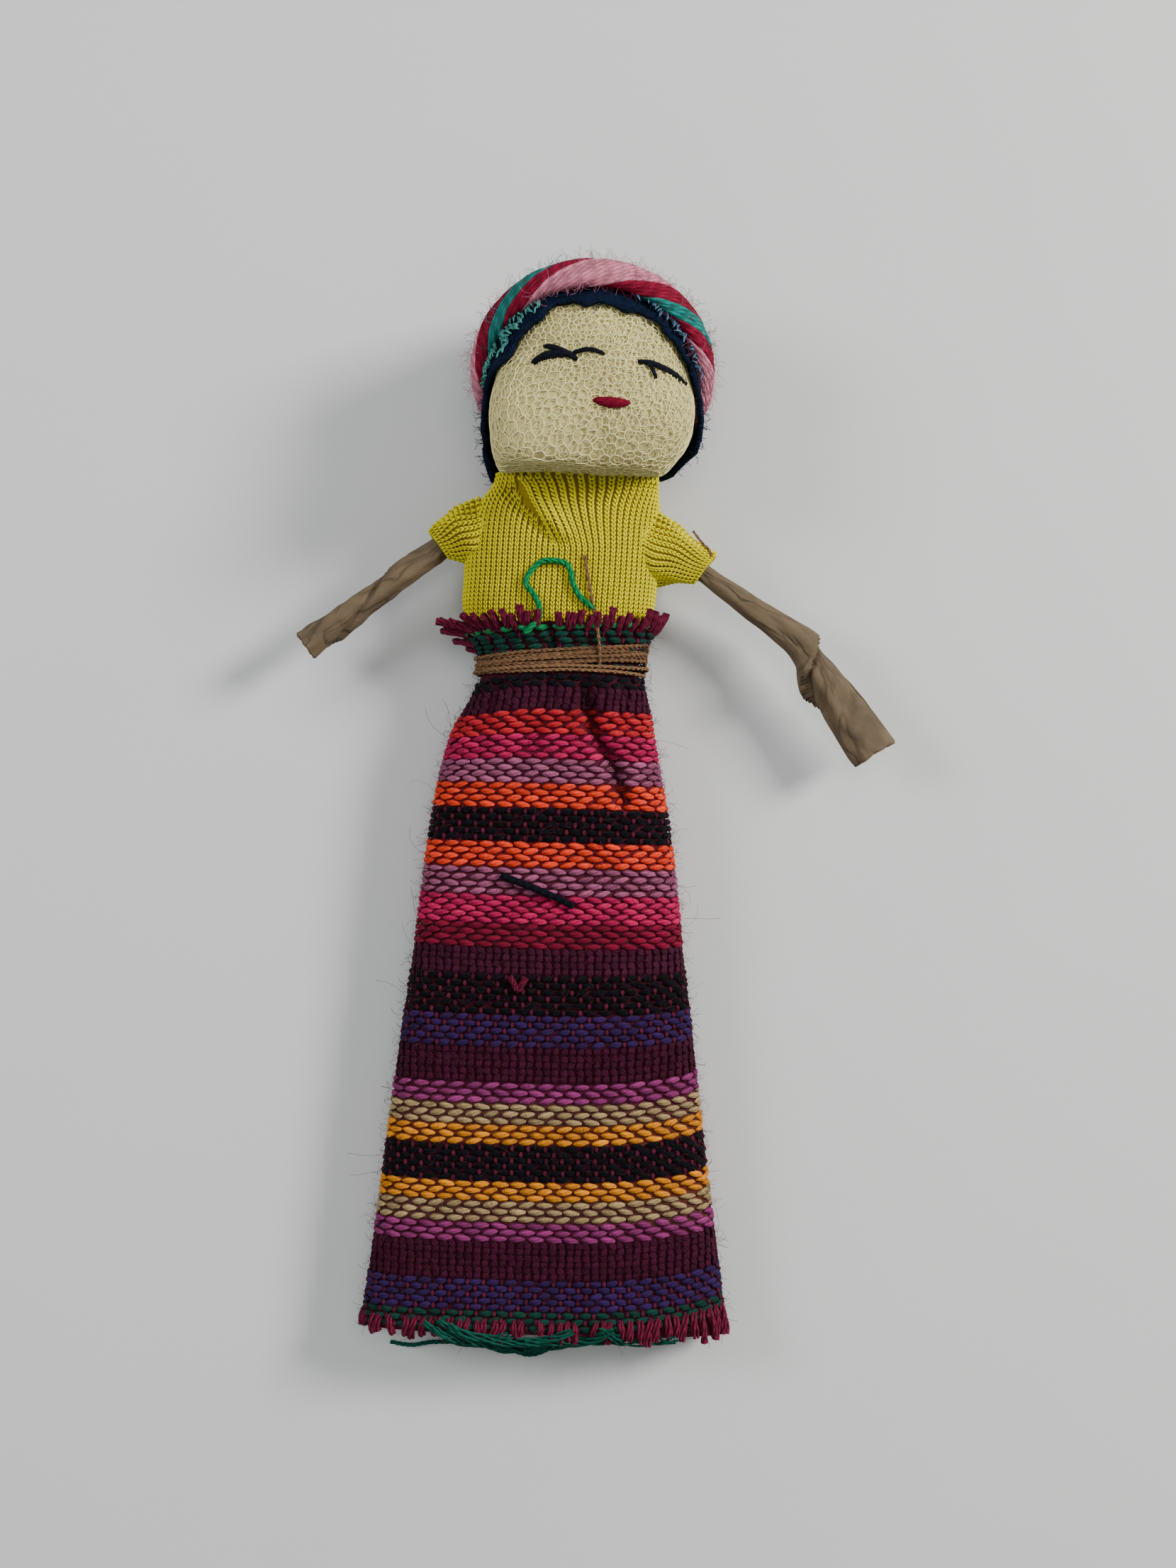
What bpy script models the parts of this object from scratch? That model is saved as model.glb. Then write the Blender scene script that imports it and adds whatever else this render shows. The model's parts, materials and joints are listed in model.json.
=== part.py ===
"""Cloth doll on a craft stick: wired paper arms, stuffed net head, tied woven skirt.

Metres, +Z up. The doll lies on its back: +Y points to the head, +X to its left
hand, +Z out of its face. The origin is on the flat back of the skirt.
"""
import math

import bmesh
import bpy
from mathutils import Matrix, Vector

MM = 0.001
GAP = 0.3 * MM                   # clearance between pieces that touch

# skirt, measured from the waist tie
TIE_Y = 20.4 * MM                # tie above the origin
SKIRT_DROP = 92.8 * MM           # tie down to the hem
SKIRT_COLLAR = 5.6 * MM          # cloth standing above the tie
HEM_HALF_WIDTH = 26.0 * MM
HEM_HEIGHT = 10.4 * MM           # front of the skirt over the table at the hem
WAIST_HALF_WIDTH = 11.3 * MM
WAIST_HALF_DEPTH = 5.9 * MM
SKIRT_WALL = 0.8 * MM

# torso
TORSO_Z = 7.4 * MM               # middle of the torso over the table
TORSO_RISE = 23.6 * MM           # tie up to the neck edge of the shirt
CHEST_HALF_WIDTH = 13.2 * MM
CHEST_HALF_DEPTH = 6.5 * MM
NECK_EDGE_HALF_WIDTH = 11.2 * MM
NECK_EDGE_SHIFT = 1.2 * MM       # neck edge off the skirt's centre line
SHIRT_WALL = 0.7 * MM
SHIRT_TUCK = 3.6 * MM            # shirt below the tie

# stick and arm wire
STICK_WIDTH = 9.5 * MM
STICK_THICKNESS = 2.0 * MM
STICK_Z = 5.6 * MM
STICK_HEM_SETBACK = 21.0 * MM    # hem to the lower end of the stick
STICK_NECK_SETBACK = 4.6 * MM    # neck edge to the upper end
WIRE_RADIUS = 0.55 * MM
BINDING_RADIUS = 0.3 * MM
BINDING_SPREAD = 1.7 * MM        # binding's crossing over the wire, each way from its middle

# arms
SLEEVE_BALL = 3.3 * MM           # radius of the sleeve root about the shoulder
SLEEVE_WALL = 0.5 * MM
CUFF_RADIUS = 2.55 * MM
SHOULDER_OUT = 1.0 * MM          # shoulder pivot outside the chest wall
PAPER_WALL = 0.4 * MM
PAPER_RADIUS = 1.55 * MM         # arm radius at each bend
BEND_SETBACK = 1.8 * MM          # a piece stops this far before a bend

# head and neck
NECK_X = 3.0 * MM
NECK_Z = 9.0 * MM
NECK_RADIUS = 2.4 * MM
NECK_FOOT_RADIUS = 3.2 * MM
HEAD_LIFT = 15.9 * MM            # neck edge of the shirt to the head's centre
HEAD_X = 3.4 * MM
HEAD_HALF_WIDTH = 12.7 * MM
HEAD_HALF_HEIGHT = 13.0 * MM
HEAD_HALF_DEPTH = 12.3 * MM
CHEEK_SWELL = 0.05
NET_WALL = 0.5 * MM
HAIR_WALL = 0.7 * MM
HAIR_ROOM = 0.6 * MM             # net to hair cloth, with room for both pieces' flat facets
HEAD_REST = 0.3 * MM             # back of the hair cloth over the table
STRAND_RADIUS = 0.72 * MM
STRAND_RADIAL = 1.0 * MM         # strand's swing towards and away from the head
STRAND_ACROSS = 2.0 * MM         # strand's swing across the band
BAND_TWISTS = 4
BAND_SLOPE = 39.0                # degrees the band's plane rises from the back of the head

# threads
TIE_THREAD_RADIUS = 0.31 * MM
TIE_TURNS = 4
TIE_PITCH = 0.72 * MM
TIE_HALF_BAND = 1.7 * MM         # half the height of the drawn-in waist
NECK_THREAD_RADIUS = 0.35 * MM
LOOP_RADIUS = 0.45 * MM
TAIL_RADIUS = 0.25 * MM
STITCH_RADIUS = 0.5 * MM
FACE_THREAD_RADIUS = 0.35 * MM
HEM_THREAD_RADIUS = 0.35 * MM

RING_SIDES = 30
HEM_Y = TIE_Y - SKIRT_DROP
COLLAR_Y = TIE_Y + TORSO_RISE
UP = Vector((0, 0, 1))
DOLL_AXIS = Vector((0, 1, 0))

SHOULDER_Z = STICK_Z + STICK_THICKNESS / 2 + GAP + WIRE_RADIUS
HEAD_CENTRE = Vector((HEAD_X, COLLAR_Y + HEAD_LIFT,
                      HEAD_HALF_DEPTH + HAIR_ROOM + HAIR_WALL + HEAD_REST))
NECK_TURN = Vector((NECK_X, COLLAR_Y - 1.0 * MM, NECK_Z))
NECK_NOD = Vector((NECK_X, COLLAR_Y + 1.6 * MM, NECK_Z))

ARMS = {
    "right": {"side": -1, "height": 18.3 * MM, "angle": 37.2, "cuff": 4.6 * MM,
              "elbow": 14.9 * MM, "forearm": 12.0 * MM, "bend": 0.0,
              "hand_width": 2.15 * MM, "hand_depth": 2.0 * MM},
    "left": {"side": 1, "height": 17.2 * MM, "angle": 35.2, "cuff": 6.0 * MM,
             "elbow": 22.4 * MM, "forearm": 19.1 * MM, "bend": 18.2,
             "hand_width": 3.2 * MM, "hand_depth": 1.8 * MM},
}


# ---------------------------------------------------------------- scene helpers
def clear_scene():
    for old in list(bpy.data.objects):
        bpy.data.objects.remove(old, do_unlink=True)


def new_collection(name):
    group = bpy.data.collections.new(name)
    bpy.context.scene.collection.children.link(group)
    return group


def material(name, colour, roughness, metallic=0.0):
    made = bpy.data.materials.new(name)
    made.use_nodes = True
    shader = made.node_tree.nodes["Principled BSDF"]
    shader.inputs["Base Color"].default_value = (*colour, 1.0)
    shader.inputs["Roughness"].default_value = roughness
    shader.inputs["Metallic"].default_value = metallic
    made.diffuse_color = (*colour, 1.0)
    return made


def joint_empty(name, place, parent=None):
    empty = bpy.data.objects.new(name, None)
    empty.empty_display_size = 3 * MM
    doll.objects.link(empty)
    place_on(empty, place, parent)
    return empty


def place_on(thing, place, parent):
    thing["place"] = Vector(place)
    start = Vector(parent["place"]) if parent else Vector()
    thing.parent = parent
    thing.location = Vector(place) - start


def add_piece(name, data, finish, place, parent):
    data.materials.append(finish)
    piece = bpy.data.objects.new(name, data)
    doll.objects.link(piece)
    place_on(piece, place, parent)
    return piece


def add_cutter(name, data, place):
    cutter = bpy.data.objects.new(name, data)
    cutters.objects.link(cutter)
    cutter.location = place
    cutter.hide_render = True
    cutter.display_type = "WIRE"
    return cutter


def cut(piece, cutter):
    boolean = piece.modifiers.new("cut_" + cutter.name, "BOOLEAN")
    boolean.operation = "DIFFERENCE"
    boolean.solver = "EXACT"
    boolean.object = cutter


# ---------------------------------------------------------------- shape helpers
def along(table, s):
    """Smooth value row of a table of (s, value, ...) rows at s."""
    rows = sorted(table)
    s = min(max(s, rows[0][0]), rows[-1][0])
    k = 0
    while k < len(rows) - 2 and s > rows[k + 1][0]:
        k += 1
    before, low = rows[max(k - 1, 0)], rows[k]
    high, after = rows[k + 1], rows[min(k + 2, len(rows) - 1)]
    span = high[0] - low[0]
    t = (s - low[0]) / span
    values = []
    for c in range(1, len(low)):
        rise_low = (high[c] - before[c]) / (high[0] - before[0]) * span
        rise_high = (after[c] - low[c]) / (after[0] - low[0]) * span
        values.append((2 * t**3 - 3 * t**2 + 1) * low[c] + (t**3 - 2 * t**2 + t) * rise_low
                      + (3 * t**2 - 2 * t**3) * high[c] + (t**3 - t**2) * rise_high)
    return values


def rounded(angle, power):
    """Point of a unit superellipse."""
    c, s = math.cos(angle), math.sin(angle)
    return (math.copysign(abs(c) ** (2 / power), c), math.copysign(abs(s) ** (2 / power), s))


def loft(section, stations, axis=DOLL_AXIS, sides=RING_SIDES, floor=None, capped=False):
    """Skin through rings: section(s) gives side, up, half_side, half_up and power."""
    side = axis.cross(UP)
    shape = bmesh.new()
    rings = []
    for s in stations:
        across, high, half_side, half_up, power = section(s)
        ring = []
        for j in range(sides):
            u, v = rounded(2 * math.pi * (j + 0.5) / sides, power)
            point = axis * s + side * (across + half_side * u) + UP * (high + half_up * v)
            if floor is not None:
                point.z = max(point.z, floor)
            ring.append(shape.verts.new(point))
        rings.append(ring)
    for low, high_ring in zip(rings, rings[1:]):
        for j in range(sides):
            k = (j + 1) % sides
            shape.faces.new((low[j], high_ring[j], high_ring[k], low[k]))
    if capped:
        shape.faces.new(rings[0])
        shape.faces.new(list(reversed(rings[-1])))
        bmesh.ops.recalc_face_normals(shape, faces=shape.faces[:])
    data = bpy.data.meshes.new("loft")
    shape.to_mesh(data)
    shape.free()
    data.shade_smooth()
    return data


def evenly(start, end, count):
    return [start + (end - start) * i / (count - 1) for i in range(count)]


def add_wall(piece, thickness):
    wall = piece.modifiers.new("wall", "SOLIDIFY")
    wall.thickness = thickness
    wall.offset = -1.0
    wall.use_even_offset = True


def smooth_route(points, steps):
    """Points of a Catmull-Rom curve through a short list of points."""
    points = [Vector(p) for p in points]
    route = []
    for k in range(len(points) - 1):
        p0, p1 = points[max(k - 1, 0)], points[k]
        p2, p3 = points[k + 1], points[min(k + 2, len(points) - 1)]
        for i in range(steps):
            t = i / steps
            route.append(0.5 * (2 * p1 + (p2 - p0) * t + (2 * p0 - 5 * p1 + 4 * p2 - p3) * t**2
                                + (3 * p1 - p0 - 3 * p2 + p3) * t**3))
    route.append(points[-1])
    return route


def thread(name, points, radius, finish, parent=None, closed=False):
    """Tube along a list of world points, its origin on its parent."""
    origin = Vector(parent["place"]) if parent else Vector()
    data = bpy.data.curves.new(name, "CURVE")
    data.dimensions = "3D"
    data.bevel_depth = radius
    data.bevel_resolution = 2
    data.use_fill_caps = True
    line = data.splines.new("POLY")
    line.points.add(len(points) - 1)
    for point, place in zip(line.points, points):
        point.co = (*(Vector(place) - origin), 1.0)
    line.use_cyclic_u = closed
    line.use_smooth = True
    return add_piece(name, data, finish, origin, parent)


def turned(name, profile, place, finish, parent):
    """Solid turned about the doll's long axis: profile of (radius, height), top first."""
    data = bpy.data.meshes.new(name)
    data.from_pydata([(r, 0.0, h) for r, h in profile],
                     [(i, i + 1) for i in range(len(profile) - 1)], [])
    piece = add_piece(name, data, finish, place, parent)
    piece.rotation_euler = (-math.pi / 2, 0, 0)
    turn = piece.modifiers.new("turn", "SCREW")
    turn.steps = turn.render_steps = 20
    turn.use_merge_vertices = True
    turn.merge_threshold = 0.00001
    turn.use_normal_calculate = True
    return piece


def ball_cutter(name, radius, place):
    shape = bmesh.new()
    bmesh.ops.create_uvsphere(shape, u_segments=24, v_segments=14, radius=radius)
    data = bpy.data.meshes.new(name)
    shape.to_mesh(data)
    shape.free()
    return add_cutter(name, data, place)


def rod_cutter(name, radius, start, end):
    shape = bmesh.new()
    reach = Vector(end) - Vector(start)
    turn = reach.to_track_quat("Z", "Y").to_matrix().to_4x4()
    bmesh.ops.create_cone(shape, cap_ends=True, segments=20, radius1=radius, radius2=radius,
                          depth=reach.length, matrix=turn)
    data = bpy.data.meshes.new(name)
    shape.to_mesh(data)
    shape.free()
    return add_cutter(name, data, (Vector(start) + Vector(end)) / 2)


def box_cutter(name, size, place):
    shape = bmesh.new()
    bmesh.ops.create_cube(shape, size=1.0, matrix=Matrix.Diagonal((*size, 1.0)))
    data = bpy.data.meshes.new(name)
    shape.to_mesh(data)
    shape.free()
    return add_cutter(name, data, place)


# ---------------------------------------------------------------- body sections
def shirt_section(y):
    """Outside of the shirt at height y."""
    waist_width = WAIST_HALF_WIDTH - SKIRT_WALL - GAP
    waist_depth = WAIST_HALF_DEPTH - SKIRT_WALL - GAP
    table = [
        (-SHIRT_TUCK, 0.0, waist_width, waist_depth),
        (-TIE_HALF_BAND, 0.0, waist_width, waist_depth),
        (TIE_HALF_BAND, 0.0, waist_width, waist_depth),
        (0.28 * TORSO_RISE, -0.5 * MM, 0.97 * CHEST_HALF_WIDTH, 0.95 * CHEST_HALF_DEPTH),
        (0.5 * TORSO_RISE, -0.3 * MM, CHEST_HALF_WIDTH, CHEST_HALF_DEPTH),
        (0.8 * TORSO_RISE, 0.0, 0.99 * CHEST_HALF_WIDTH, CHEST_HALF_DEPTH),
        (0.92 * TORSO_RISE, 0.5 * NECK_EDGE_SHIFT,
         (CHEST_HALF_WIDTH + NECK_EDGE_HALF_WIDTH) / 2, 0.96 * CHEST_HALF_DEPTH),
        (TORSO_RISE, NECK_EDGE_SHIFT, NECK_EDGE_HALF_WIDTH, 0.92 * CHEST_HALF_DEPTH),
    ]
    shift, width, depth = along(table, y - TIE_Y)
    return shift, TORSO_Z, width, depth, 2.3


def padding_section(y):
    shift, middle, width, depth, power = shirt_section(y)
    inset = SHIRT_WALL + 1.5 * GAP
    return shift, middle, width - inset, depth - inset, power


def skirt_section(y):
    """Outside of the skirt: round over the tie, then opening to a flat-backed hem."""
    drop = TIE_Y - y
    if drop < TIE_HALF_BAND:
        shift, middle, width, depth, power = shirt_section(y)
        flare = 0.5 * MM * max(0.0, -drop / SKIRT_COLLAR)
        grow = SKIRT_WALL + GAP + flare
        return shift, middle, width + grow, depth + grow, power
    share = [(0.0, 0.0), (0.02, 0.01), (0.045, 0.05), (0.08, 0.14), (0.13, 0.235), (0.22, 0.345),
             (0.44, 0.53), (0.65, 0.70), (0.87, 0.89), (1.0, 1.0)]
    opened = along(share, drop / SKIRT_DROP)[0]
    width = WAIST_HALF_WIDTH + (HEM_HALF_WIDTH - WAIST_HALF_WIDTH) * opened
    waist_front = TORSO_Z + WAIST_HALF_DEPTH
    waist_back = TORSO_Z - WAIST_HALF_DEPTH
    heights = [
        (0.0, waist_front, waist_back, 0.0),
        (0.045, waist_front, waist_back, 0.0),
        (0.11, 0.95 * waist_front, -0.4 * MM, -0.9 * MM),
        (0.22, 0.5 * (waist_front + HEM_HEIGHT), -0.8 * MM, -0.9 * MM),
        (0.60, HEM_HEIGHT + 0.4 * MM, -0.8 * MM, -0.5 * MM),
        (1.0, HEM_HEIGHT, -0.8 * MM, 0.0),
    ]
    front, back, shift = along(heights, drop / SKIRT_DROP)
    power = along([(0.0, 2.3), (0.1, 2.5), (1.0, 3.0)], drop / SKIRT_DROP)[0]
    return shift, (front + back) / 2, width, (front - back) / 2, power


def front_height(section, x, y):
    """Height of a section's front surface at x."""
    shift, middle, width, depth, power = section(y)
    inside = max(0.0, 1 - abs((x - shift) / width) ** power)
    return middle + depth * inside ** (1 / power)


def laid_on_front(section, spots, lift):
    """Hand-chosen (x, y) spots in mm, lifted to the cloth's front surface."""
    return [(x * MM, y * MM, front_height(section, x * MM, y * MM) + lift) for x, y in spots]


def head_reach(direction):
    """Distance from the head's centre to the outside of the net."""
    d = direction.normalized()
    ball = 1 / math.sqrt((d.x / HEAD_HALF_WIDTH) ** 2 + (d.y / HEAD_HALF_HEIGHT) ** 2
                         + (d.z / HEAD_HALF_DEPTH) ** 2)
    cheek = max(0.0, 1 - ((-d.y - 0.45) / 0.45) ** 2)
    return ball * (1 + CHEEK_SWELL * cheek)


def head_ball(grow, pole, open_angle=None):
    """Ball of the head's shape, grown by a distance, opened round its pole."""
    shape = bmesh.new()
    bmesh.ops.create_uvsphere(shape, u_segments=18, v_segments=13, radius=1.0)
    turn = Vector(pole).to_track_quat("Z", "Y").to_matrix()
    if open_angle is not None:
        limit = math.cos(math.radians(open_angle))
        spare = [v for v in shape.verts if v.co.z > limit]
        bmesh.ops.delete(shape, geom=spare, context="VERTS")
    for v in shape.verts:
        direction = turn @ v.co
        v.co = direction.normalized() * (head_reach(direction) + grow)
    data = bpy.data.meshes.new("ball")
    shape.to_mesh(data)
    shape.free()
    data.shade_smooth()
    return data


def on_face(x, y, lift):
    """Point on the front of the head, from its offset to the head's centre."""
    low, high = 0.0, 2 * HEAD_HALF_DEPTH
    for _ in range(40):
        middle = (low + high) / 2
        spot = Vector((x, y, middle))
        if spot.length < head_reach(spot) + lift:
            low = middle
        else:
            high = middle
    return HEAD_CENTRE + Vector((x, y, low))


# ---------------------------------------------------------------- pieces
def make_stick():
    low = HEM_Y + STICK_HEM_SETBACK
    high = COLLAR_Y - STICK_NECK_SETBACK
    half = STICK_WIDTH / 2
    data = bpy.data.curves.new("body_stick", "CURVE")
    data.dimensions = "2D"
    data.fill_mode = "BOTH"
    data.extrude = STICK_THICKNESS / 2
    outline = data.splines.new("POLY")
    points = []
    for end, start_angle in ((high - half, 0), (low + half, 180)):
        for i in range(9):
            turn = math.radians(start_angle + 180 * i / 8)
            points.append((half * math.cos(turn), end + half * math.sin(turn)))
    outline.points.add(len(points) - 1)
    for point, (x, y) in zip(outline.points, points):
        point.co = (x, y, 0.0, 1.0)
    outline.use_cyclic_u = True
    stick = add_piece("body_stick", data, wood, (0, 0, STICK_Z), None)
    weld = stick.modifiers.new("weld", "WELD")
    weld.merge_threshold = 0.00001


def waist_rows():
    """Heights that the shirt and the skirt share round the tie, so that they nest."""
    return [TIE_Y - TIE_HALF_BAND] + evenly(TIE_Y + TIE_HALF_BAND, TIE_Y + SKIRT_COLLAR, 3)


def make_torso(shoulders):
    low = TIE_Y - SHIRT_TUCK
    top = COLLAR_Y - 3.0 * MM
    shirt_rows = [low] + waist_rows() + evenly(TIE_Y + SKIRT_COLLAR, COLLAR_Y, 6)[1:]
    padding_rows = [low + GAP] + [y for y in shirt_rows[1:] if y < top] + [top]
    padding = add_piece("torso_padding", loft(padding_section, padding_rows, capped=True),
                        stuffing, (0, 0, 0), None)
    slot_top = COLLAR_Y - STICK_NECK_SETBACK + GAP
    slot_low = low - 2 * MM
    cut(padding, box_cutter("stick_slot", (STICK_WIDTH + 2 * GAP, slot_top - slot_low,
                                           STICK_THICKNESS + 2 * GAP),
                            (0, (slot_top + slot_low) / 2, STICK_Z)))
    wire_y = (shoulders[0].y + shoulders[1].y) / 2
    cut(padding, box_cutter("binding_pocket",
                            (STICK_WIDTH + 3 * MM, 2 * BINDING_SPREAD + 1.4 * MM,
                             STICK_THICKNESS + 2 * WIRE_RADIUS + 3.2 * MM),
                            (0, wire_y, (STICK_Z + SHOULDER_Z) / 2 + 0.2 * MM)))
    cut(padding, rod_cutter("wire_bore", WIRE_RADIUS + GAP, *shoulders))
    shirt = add_piece("shirt", loft(shirt_section, shirt_rows), yellow_jersey, (0, 0, 0), None)
    add_wall(shirt, SHIRT_WALL)
    for name, place in zip(("right", "left"), shoulders):
        pocket = ball_cutter(name + "_shoulder_pocket", SLEEVE_BALL + 1.5 * GAP, place)
        cut(padding, pocket)
        cut(shirt, pocket)


def make_shoulder_wire(shoulders):
    reach = (shoulders[1] - shoulders[0]).normalized() * 0.9 * MM
    ends = (shoulders[0] + reach, shoulders[1] - reach)
    thread("shoulder_wire", evenly_between(*ends, 4), WIRE_RADIUS, wire)
    middle = (shoulders[0] + shoulders[1]) / 2
    half = STICK_WIDTH / 2 + GAP + BINDING_RADIUS
    low = STICK_Z - STICK_THICKNESS / 2 - GAP - BINDING_RADIUS
    high = SHOULDER_Z + WIRE_RADIUS + GAP + BINDING_RADIUS
    loop = []
    for i in range(20):
        turn = 2 * math.pi * i / 20
        u, v = rounded(turn, 5.0)
        loop.append((middle.x + (half + 0.5 * MM) * u,
                     middle.y + BINDING_SPREAD * math.cos(turn),
                     (low + high) / 2 + (high - low) / 2 * v * 1.05))
    thread("wire_binding", loop, BINDING_RADIUS, brown_thread, closed=True)


def evenly_between(start, end, count):
    return [start.lerp(end, i / (count - 1)) for i in range(count)]


def make_skirt():
    rows = evenly(HEM_Y, TIE_Y - 0.24 * SKIRT_DROP, 5)
    rows += evenly(TIE_Y - 0.24 * SKIRT_DROP, TIE_Y - TIE_HALF_BAND, 6)[1:-1]
    rows += waist_rows()
    skirt = add_piece("skirt", loft(skirt_section, rows, floor=0.0),
                      striped_cloth, (0, 0, 0), None)
    add_wall(skirt, SKIRT_WALL)


def make_waist_thread():
    turn_points = 20
    points = []
    lift = 1.5 * GAP + TIE_THREAD_RADIUS
    shift, middle, width, depth, power = skirt_section(TIE_Y - TIE_HALF_BAND)
    for i in range(TIE_TURNS * turn_points + 1):
        y = TIE_Y + TIE_PITCH * (i / turn_points - TIE_TURNS / 2)
        u, v = rounded(2 * math.pi * i / turn_points, power)
        points.append((shift + (width + lift) * u, y, middle + (depth + lift) * v))
    thread("waist_thread", points, TIE_THREAD_RADIUS, brown_thread)


def make_front_threads():
    tail = laid_on_front(skirt_section, [(5.3, 22.6), (4.9, 25.6)],
                         GAP + 2 * TIE_THREAD_RADIUS + TAIL_RADIUS)
    tail += laid_on_front(shirt_section, [(4.4, 28.2), (3.7, 31.6), (2.9, 35.3)],
                          2 * GAP + TAIL_RADIUS)
    thread("waist_tail", smooth_route(tail, 3), TAIL_RADIUS, brown_thread)
    rise = GAP + LOOP_RADIUS
    spots = [(-4.4, 24.2), (-3.1, 26.3), (-3.0, 27.9), (-3.8, 29.7), (-4.9, 31.0),
             (-4.3, 32.9), (-3.0, 34.3), (-1.2, 34.4), (0.5, 34.0), (1.4, 31.6),
             (2.2, 29.4), (2.9, 27.0)]
    heights = laid_on_front(shirt_section, spots, rise + SKIRT_WALL + 2 * GAP)
    thread("green_loop_thread", smooth_route(heights, 2), LOOP_RADIUS, green_yarn)
    stitch = laid_on_front(skirt_section, [(-7.3, -8.8), (-4.2, -10.0), (-1.0, -11.2),
                                           (2.5, -12.6)], GAP + STITCH_RADIUS)
    thread("skirt_stitch", smooth_route(stitch, 3), STITCH_RADIUS, black_thread)


def make_hem_thread():
    low = HEM_THREAD_RADIUS + 0.1 * MM
    spots = [(16.5, -0.8, 3.2), (13.4, -1.5, 1.6), (10.8, -2.7, 0.3), (8.0, -3.0, 0),
             (4.6, -2.2, 0), (2.2, -2.7, 0), (0.4, -4.3, 0), (-2.0, -5.1, 0),
             (-4.3, -4.6, 0), (-6.6, -4.1, 0), (-8.9, -3.2, 0), (-12.1, -3.5, 0),
             (-15.9, -3.6, 0), (-19.0, -4.1, 0), (-21.9, -3.7, 0)]
    points = [(x * MM, HEM_Y + below * MM, low + z * MM) for x, below, z in spots]
    thread("hem_loose_thread", smooth_route(points, 2), HEM_THREAD_RADIUS, dark_green_yarn)


def make_neck(neck):
    foot = COLLAR_Y - 3.0 * MM + GAP - NECK_TURN.y
    top = NECK_NOD.y + 0.6 * MM - NECK_TURN.y
    profile = [(0.0, top), (NECK_RADIUS - 0.5 * MM, top), (NECK_RADIUS - 0.2 * MM, top - 0.6 * MM),
               (NECK_RADIUS, 0.0), (NECK_RADIUS + 0.7 * MM, -0.9 * MM),
               (NECK_FOOT_RADIUS, foot + 0.4 * MM), (NECK_FOOT_RADIUS - 0.3 * MM, foot),
               (0.0, foot)]
    turned("neck_gather", profile, NECK_TURN, net_cloth, neck)
    ring = []
    reach = NECK_RADIUS + GAP + NECK_THREAD_RADIUS
    for i in range(22):
        turn = 2 * math.pi * i / 22
        ring.append(NECK_TURN + Vector((reach * math.cos(turn), 0.2 * MM, reach * math.sin(turn))))
    thread("neck_thread", ring, NECK_THREAD_RADIUS, brown_thread, neck, closed=True)


def make_head(head):
    to_neck = NECK_NOD - HEAD_CENTRE
    add_piece("head_stuffing", head_ball(-NET_WALL - GAP, to_neck), stuffing, HEAD_CENTRE, head)
    net = add_piece("face_net", head_ball(0.0, to_neck, open_angle=14), net_cloth,
                    HEAD_CENTRE, head)
    add_wall(net, NET_WALL)
    hair = add_piece("hair_cap", head_ball(HAIR_ROOM + HAIR_WALL, (0, -0.5, 0.866), open_angle=74),
                     navy_cloth, HEAD_CENTRE, head)
    add_wall(hair, HAIR_WALL)
    cut(hair, rod_cutter("neck_notch", NECK_RADIUS + 2.6 * MM,
                         NECK_TURN - DOLL_AXIS * 3 * MM, NECK_TURN + DOLL_AXIS * 9 * MM))


def make_headband(head):
    slope = math.radians(BAND_SLOPE)
    across = Vector((0, -math.sin(slope), math.cos(slope)))
    tilt = Vector((0, math.cos(slope), math.sin(slope)))
    stack = HAIR_ROOM + HAIR_WALL + GAP + STRAND_RADIAL + STRAND_RADIUS
    count = 48
    strands = (("headband_pink", pink_yarn), ("headband_red", red_yarn),
               ("headband_teal", teal_yarn))
    for k, (name, finish) in enumerate(strands):
        points = []
        for i in range(count):
            turn = 2 * math.pi * i / count
            phase = BAND_TWISTS * turn + 2 * math.pi * k / len(strands)
            out = Vector((math.cos(turn), 0, 0)) + tilt * math.sin(turn)
            reach = head_reach(out) + stack + STRAND_RADIAL * math.cos(phase)
            points.append(HEAD_CENTRE + out * reach + across * STRAND_ACROSS * math.sin(phase))
        thread(name, points, STRAND_RADIUS, finish, head, closed=True)


def make_face(head):
    lift = GAP + FACE_THREAD_RADIUS
    lines = {
        "right_eye_stitch": (black_thread, [(-7.8, 0.5), (-6.0, 1.2), (-3.4, 1.4), (-1.0, 1.3),
                                            (1.3, 1.7)]),
        "right_lash_stitch": (black_thread, [(-6.2, 2.9), (-5.2, 2.55), (-4.3, 2.35)]),
        "left_eye_stitch": (black_thread, [(6.1, 0.8), (7.8, 0.75), (9.4, 0.4), (10.8, -0.2)]),
        "left_lash_stitch": (black_thread, [(7.4, -0.35), (7.8, -0.8), (8.3, -1.3)]),
        "mouth_stitch": (red_thread, [(0.4, -4.5), (2.4, -4.9), (4.7, -4.8)]),
    }
    for name, (finish, spots) in lines.items():
        points = [on_face(x * MM, y * MM, lift) for x, y in spots]
        thread(name, smooth_route(points, 2), FACE_THREAD_RADIUS, finish, head)


def arm_frame(arm, shoulder):
    """Direction of the upper arm and of the forearm, and the places of the bends."""
    slope = math.radians(arm["angle"])
    lower_slope = math.radians(arm["angle"] + arm["bend"])
    upper = Vector((arm["side"] * math.cos(slope), -math.sin(slope), 0))
    lower = Vector((arm["side"] * math.cos(lower_slope), -math.sin(lower_slope), 0))
    wrist_gap = 0.6 * MM
    swing = shoulder + upper * (arm["cuff"] + wrist_gap)
    elbow = shoulder + upper * arm["elbow"]
    return upper, lower, swing, elbow


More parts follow.
